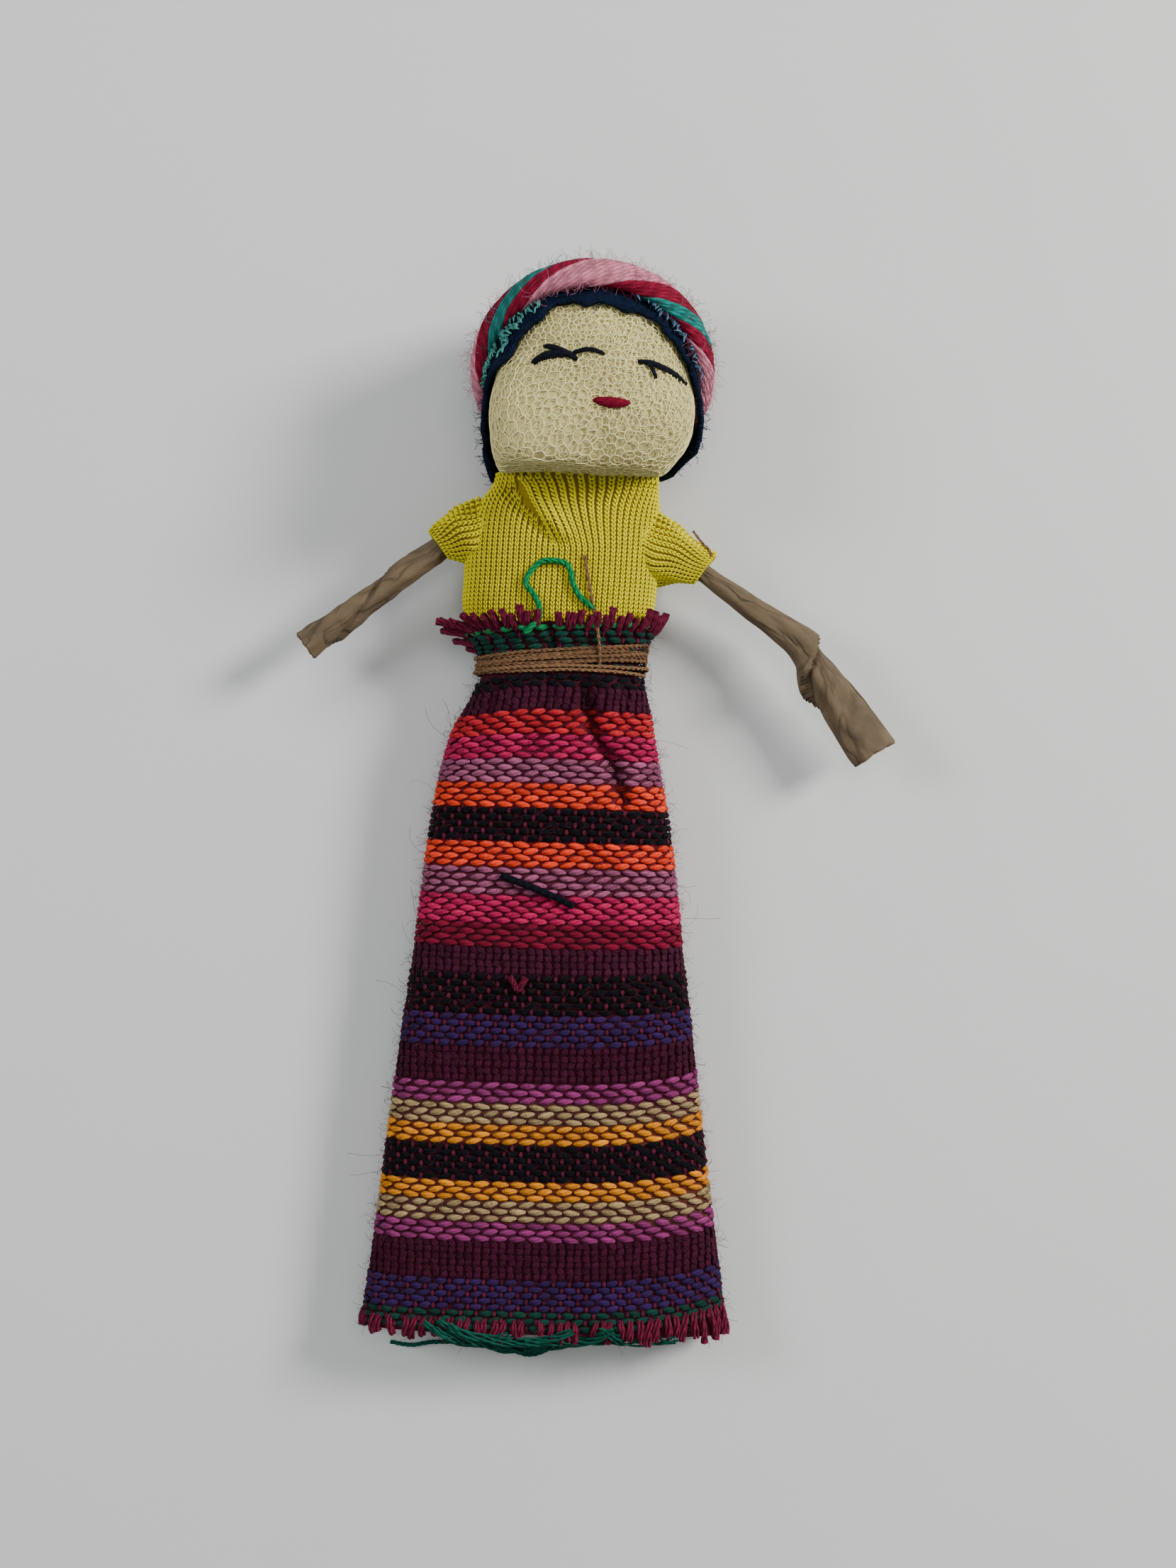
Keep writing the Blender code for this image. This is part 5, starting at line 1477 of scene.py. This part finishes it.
def makeArm(side, arm):
    route = smoothRoute([(x * mm, y * mm, arm["z"] * mm) for x, y in arm["path"]], 14)
    runs = [0.0]
    for a, b in zip(route, route[1:]):
        runs.append(runs[-1] + (b - a).length)
    total = runs[-1]
    columns = 60
    points, alongs, arounds = [], [], []
    for k, spot in enumerate(route):
        t = runs[k] / total
        ahead = (route[min(k + 1, len(route) - 1)] - route[max(k - 1, 0)]).normalized()
        level = Vector((-ahead.y, ahead.x, 0))
        if level.y < 0:
            level = -level
        wide, deep = along(arm["wide"], t)
        for j in range(columns):
            share = j / columns
            turn = 2 * math.pi * share
            seam = math.pi / 2 + arm["spiral"] * (t - arm["slit"]) \
                + arm["snap"] * math.tanh((t - arm["slit"]) / 0.05)
            past = ((turn - seam) % (2 * math.pi)) / (2 * math.pi)
            flap = 0.42 + arm["open"] * math.exp(-((t - arm["slit"]) / 0.16) ** 2)
            step = flap * max(0.0, 1 - past * 3.0) - 0.7 * flap * math.exp(-((past - 0.965) / 0.03) ** 2)
            bumps = 0.22 * noise.noise(Vector((share * 9, t * 7, arm["seed"]))) + 0.16 * noise.noise(
                Vector((math.cos(turn) * 2, math.sin(turn) * 2, t * 14 + arm["seed"])))
            ridge = 0.10 * math.sin(5 * turn + 3.0 * t + arm["seed"])
            reach = 1 + (step + bumps + ridge) / 1.8
            ragged = Vector((0, 0, 0))
            if t > 0.97:
                ragged = ahead * (0.5 * noise.noise(Vector((turn * 1.5, 4, arm["seed"]))) * mm)
            points.append(spot + (level * math.cos(turn) * wide * reach
                                  + Vector((0, 0, 1)) * math.sin(turn) * deep * reach) * mm + ragged)
            alongs.append(runs[k])
            arounds.append(share)
    faces = quadRows(len(route), columns, turned=True) + [list(range(columns))]
    ahead = (route[-1] - route[-2]).normalized()
    last = (len(route) - 1) * columns
    for depth, shrink in ((0.0, 0.62), (0.9, 0.5)):
        start = len(points)
        for j in range(columns):
            rim = points[last + j]
            centre = route[-1]
            points.append(centre + (rim - centre) * shrink - ahead * depth * mm)
            alongs.append(total)
            arounds.append(j / columns)
        below = last if depth == 0.0 else start - columns
        for c in range(columns):
            d = (c + 1) % columns
            faces.append((below + c, start + c, start + d, below + d))
    faces.append([len(points) - 1 - c for c in range(columns)])
    piece = meshPiece(side + "_arm_paper", points, faces, kraftFinish)
    turnOutward(piece)
    markPoints(piece.data, along=alongs, around=arounds)
    return piece


for side, arm in arms.items():
    paper = makeArm(side, arm)
    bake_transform(paper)
    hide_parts(side + "_upper_arm_paper", side + "_forearm_paper")
print("doll: arms made")


# tie, tails, loop and stitches
landings = [(treeOf(shirtKnit), 0), (treeOf(skirtWeft, collarWeft), 0),  # surface, height over it
            (treeOf(shirtSheet), 0.6), (treeOf(skirtSheet), 0.5)]


def onCloth(x, y, lift):
    tops = []
    for tree, above in landings:
        hit = tree.ray_cast(Vector((x, y, 60)) * mm, Vector((0, 0, -1)))[0]
        if hit:
            tops.append(hit.z + above * mm)
    return Vector((x * mm, y * mm, (max(tops) if tops else 13 * mm) + lift * mm))


def laid(spots, lift, steps=4):
    route = smoothRoute([(x, y, 0) for x, y in spots], steps)
    route = [onCloth(p.x, p.y, lift) for p in route]
    heights = [p.z for p in route]
    for k, p in enumerate(route):
        near = heights[max(0, k - 2):k + 3]
        p.z = 0.5 * max(near) + 0.5 * sum(near) / len(near)
    return route


tie = {"turns": 8, "pitch": 0.37, "low": 19.0, "rise": 1.5, "radius": 0.17, "spread": 0.14,
       "dropped": [(0.0, 1.3), (0.1, 0.7)]}  # lowest two turns sag at the doll's left, in front


def makeTie():
    routes = []
    for k in range(tie["turns"]):
        route = []
        for i in range(73):
            turn = 2 * math.pi * i / 72
            section = skirtSection(20.0)
            x, z = ovalPoint(section, turn, 0.5 + 0.28 * (k % 3 == 1) + 0.12 * math.sin(turn * 2 + k))
            side, infront = x / section[2], math.sin(turn) > 0
            y = tie["low"] + tie["rise"] * (side + 1) / 2 * (1 if infront else 0.4) \
                + tie["pitch"] * k * (1 + 0.12 * side) + 0.1 * math.sin(turn * 3 + k * 2.1)
            if infront and k < len(tie["dropped"]) and side > tie["dropped"][k][0]:
                y -= tie["dropped"][k][1] * side ** 1.5
            route.append(Vector((x, y, z)) * mm)
        routes.append(route)
    return yarn("waist_tie", routes, threadFinishes["tan_thread"], strands=2, radius=tie["radius"],
                spread=tie["spread"], twist=3600.0, wobble=0.12, step=0.5, centre=(0, 0.0204, 0.0074))


place(makeTie(), "root", "tan_thread", "waist_thread")
threads = {  # finish, node it stands for, strands, strand radius, spread, height over the cloth, route
    "waist_tie_tail": ("tan_thread", "waist_tail", 2, .15, .12, .3,
                       [(5.5, 19.4), (5.4, 20.6), (5.35, 22.3), (5.0, 25.0), (4.45, 27.5), (3.7, 31.2),
                        (2.9, 35.3)]),
    "green_loop": ("green_yarn", "green_loop_thread", 3, .22, .22, .4,
                   [(-4.8, 24.4), (-3.9, 25.4), (-3.1, 26.3), (-3.0, 27.9), (-3.8, 29.7), (-4.9, 31.0),
                    (-4.9, 31.9), (-4.3, 32.9), (-3.0, 34.2), (-1.15, 34.4), (0.5, 34.0), (1.2, 32.8),
                    (1.4, 31.6), (2.3, 29.8), (3.4, 28.8), (4.3, 28.1)]),
    "skirt_maroon_tuft": ("maroon_warp", None, 4, .17, .3, .35,
                          [(-5.9, -22.7), (-5.3, -23.6), (-4.7, -24.6), (-4.2, -23.7), (-3.6, -22.8)]),
    "skirt_black_stitch": ("black_thread", "skirt_stitch", 6, .17, .34, .5,
                           [(-7.4, -8.7), (-5.0, -9.6), (-2.5, -10.5), (0.2, -11.6), (2.6, -12.7)]),
}
for name, (finish, nodeName, strands, radius, spread, lift, spots) in threads.items():
    piece = yarn(name, [laid(spots, lift)], threadFinishes[finish], strands=strands, radius=radius,
                 spread=spread, twist=2200.0, wobble=0.1, step=0.35)
    place(piece, "root", finish if nodeName else "striped_cloth", *([nodeName] if nodeName else []))
cuffTail = {"spots": [(20.5, 36.0), (20.2, 36.9), (19.05, 38.1), (17.9, 39.6)], "raised": 1.2,
            "fall": 0.25, "radius": 0.13, "spread": 0.1}
low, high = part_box("left_cuff_tail")
tailRoute = smoothRoute([Vector((x, y, (low.z + high.z) / 2 / mm + cuffTail["raised"]
                                 - cuffTail["fall"] * k)) * mm
                         for k, (x, y) in enumerate(cuffTail["spots"])], 5)
place(yarn("cuff_thread_tail", [tailRoute], threadFinishes["tan_thread"], strands=2,
           radius=cuffTail["radius"], spread=cuffTail["spread"], twist=3000.0, step=0.3),
      "left_shoulder", "tan_thread", "left_cuff_tail")
print("doll: threads made")


# kept solids get finer finishes
neckNet = {"x": 3.0, "z": 9.0, "columns": 48, "pleats": 12, "pleatDepth": 0.07,
           "profile": [(41.3, 3.1), (42.0, 3.0), (43.0, 2.5), (44.5, 2.6), (46.0, 3.4)]}  # y, radius
neckPoints = []
for y, radius in neckNet["profile"]:
    for j in range(neckNet["columns"]):
        turn = 2 * math.pi * j / neckNet["columns"]
        reach = radius * (1 + neckNet["pleatDepth"] * math.cos(neckNet["pleats"] * turn))
        neckPoints.append(Vector((neckNet["x"] + reach * math.cos(turn), y,
                                  neckNet["z"] + reach * math.sin(turn))) * mm)
neckFaces = quadRows(len(neckNet["profile"]), neckNet["columns"], turned=True)
neckFaces += [list(range(neckNet["columns"])),
              [len(neckPoints) - 1 - c for c in range(neckNet["columns"])]]
place(meshPiece("neck_net_gather", neckPoints, neckFaces, netFinish), "neck", "cream_net", "neck_gather")
keptFinishes = {"body_stick": birchFinish, "shoulder_wire": wireFinish,
                "wire_binding": threadFinishes["tan_thread"],
                "neck_thread": threadFinishes["tan_thread"]}
for side in ("right", "left"):
    for part in ("_shoulder_wire", "_upper_arm_wire", "_forearm_wire"):
        keptFinishes[side + part] = wireFinish
for name, finish in keptFinishes.items():
    solid = frame["nodes"][name]
    for slot in solid.material_slots:
        slot.material = finish

lowest = 0.02 * mm  # nothing dips into the table
for piece in bpy.context.scene.objects:
    if piece.type != "MESH" or piece.modifiers or piece is floor or piece.name in frame["nodes"]:
        continue
    spots = np.empty(len(piece.data.vertices) * 3, np.float32)
    piece.data.vertices.foreach_get("co", spots)
    if spots[2::3].min() < 0:
        spots[2::3] = np.maximum(spots[2::3], lowest)
        piece.data.vertices.foreach_set("co", spots)
        piece.data.update()
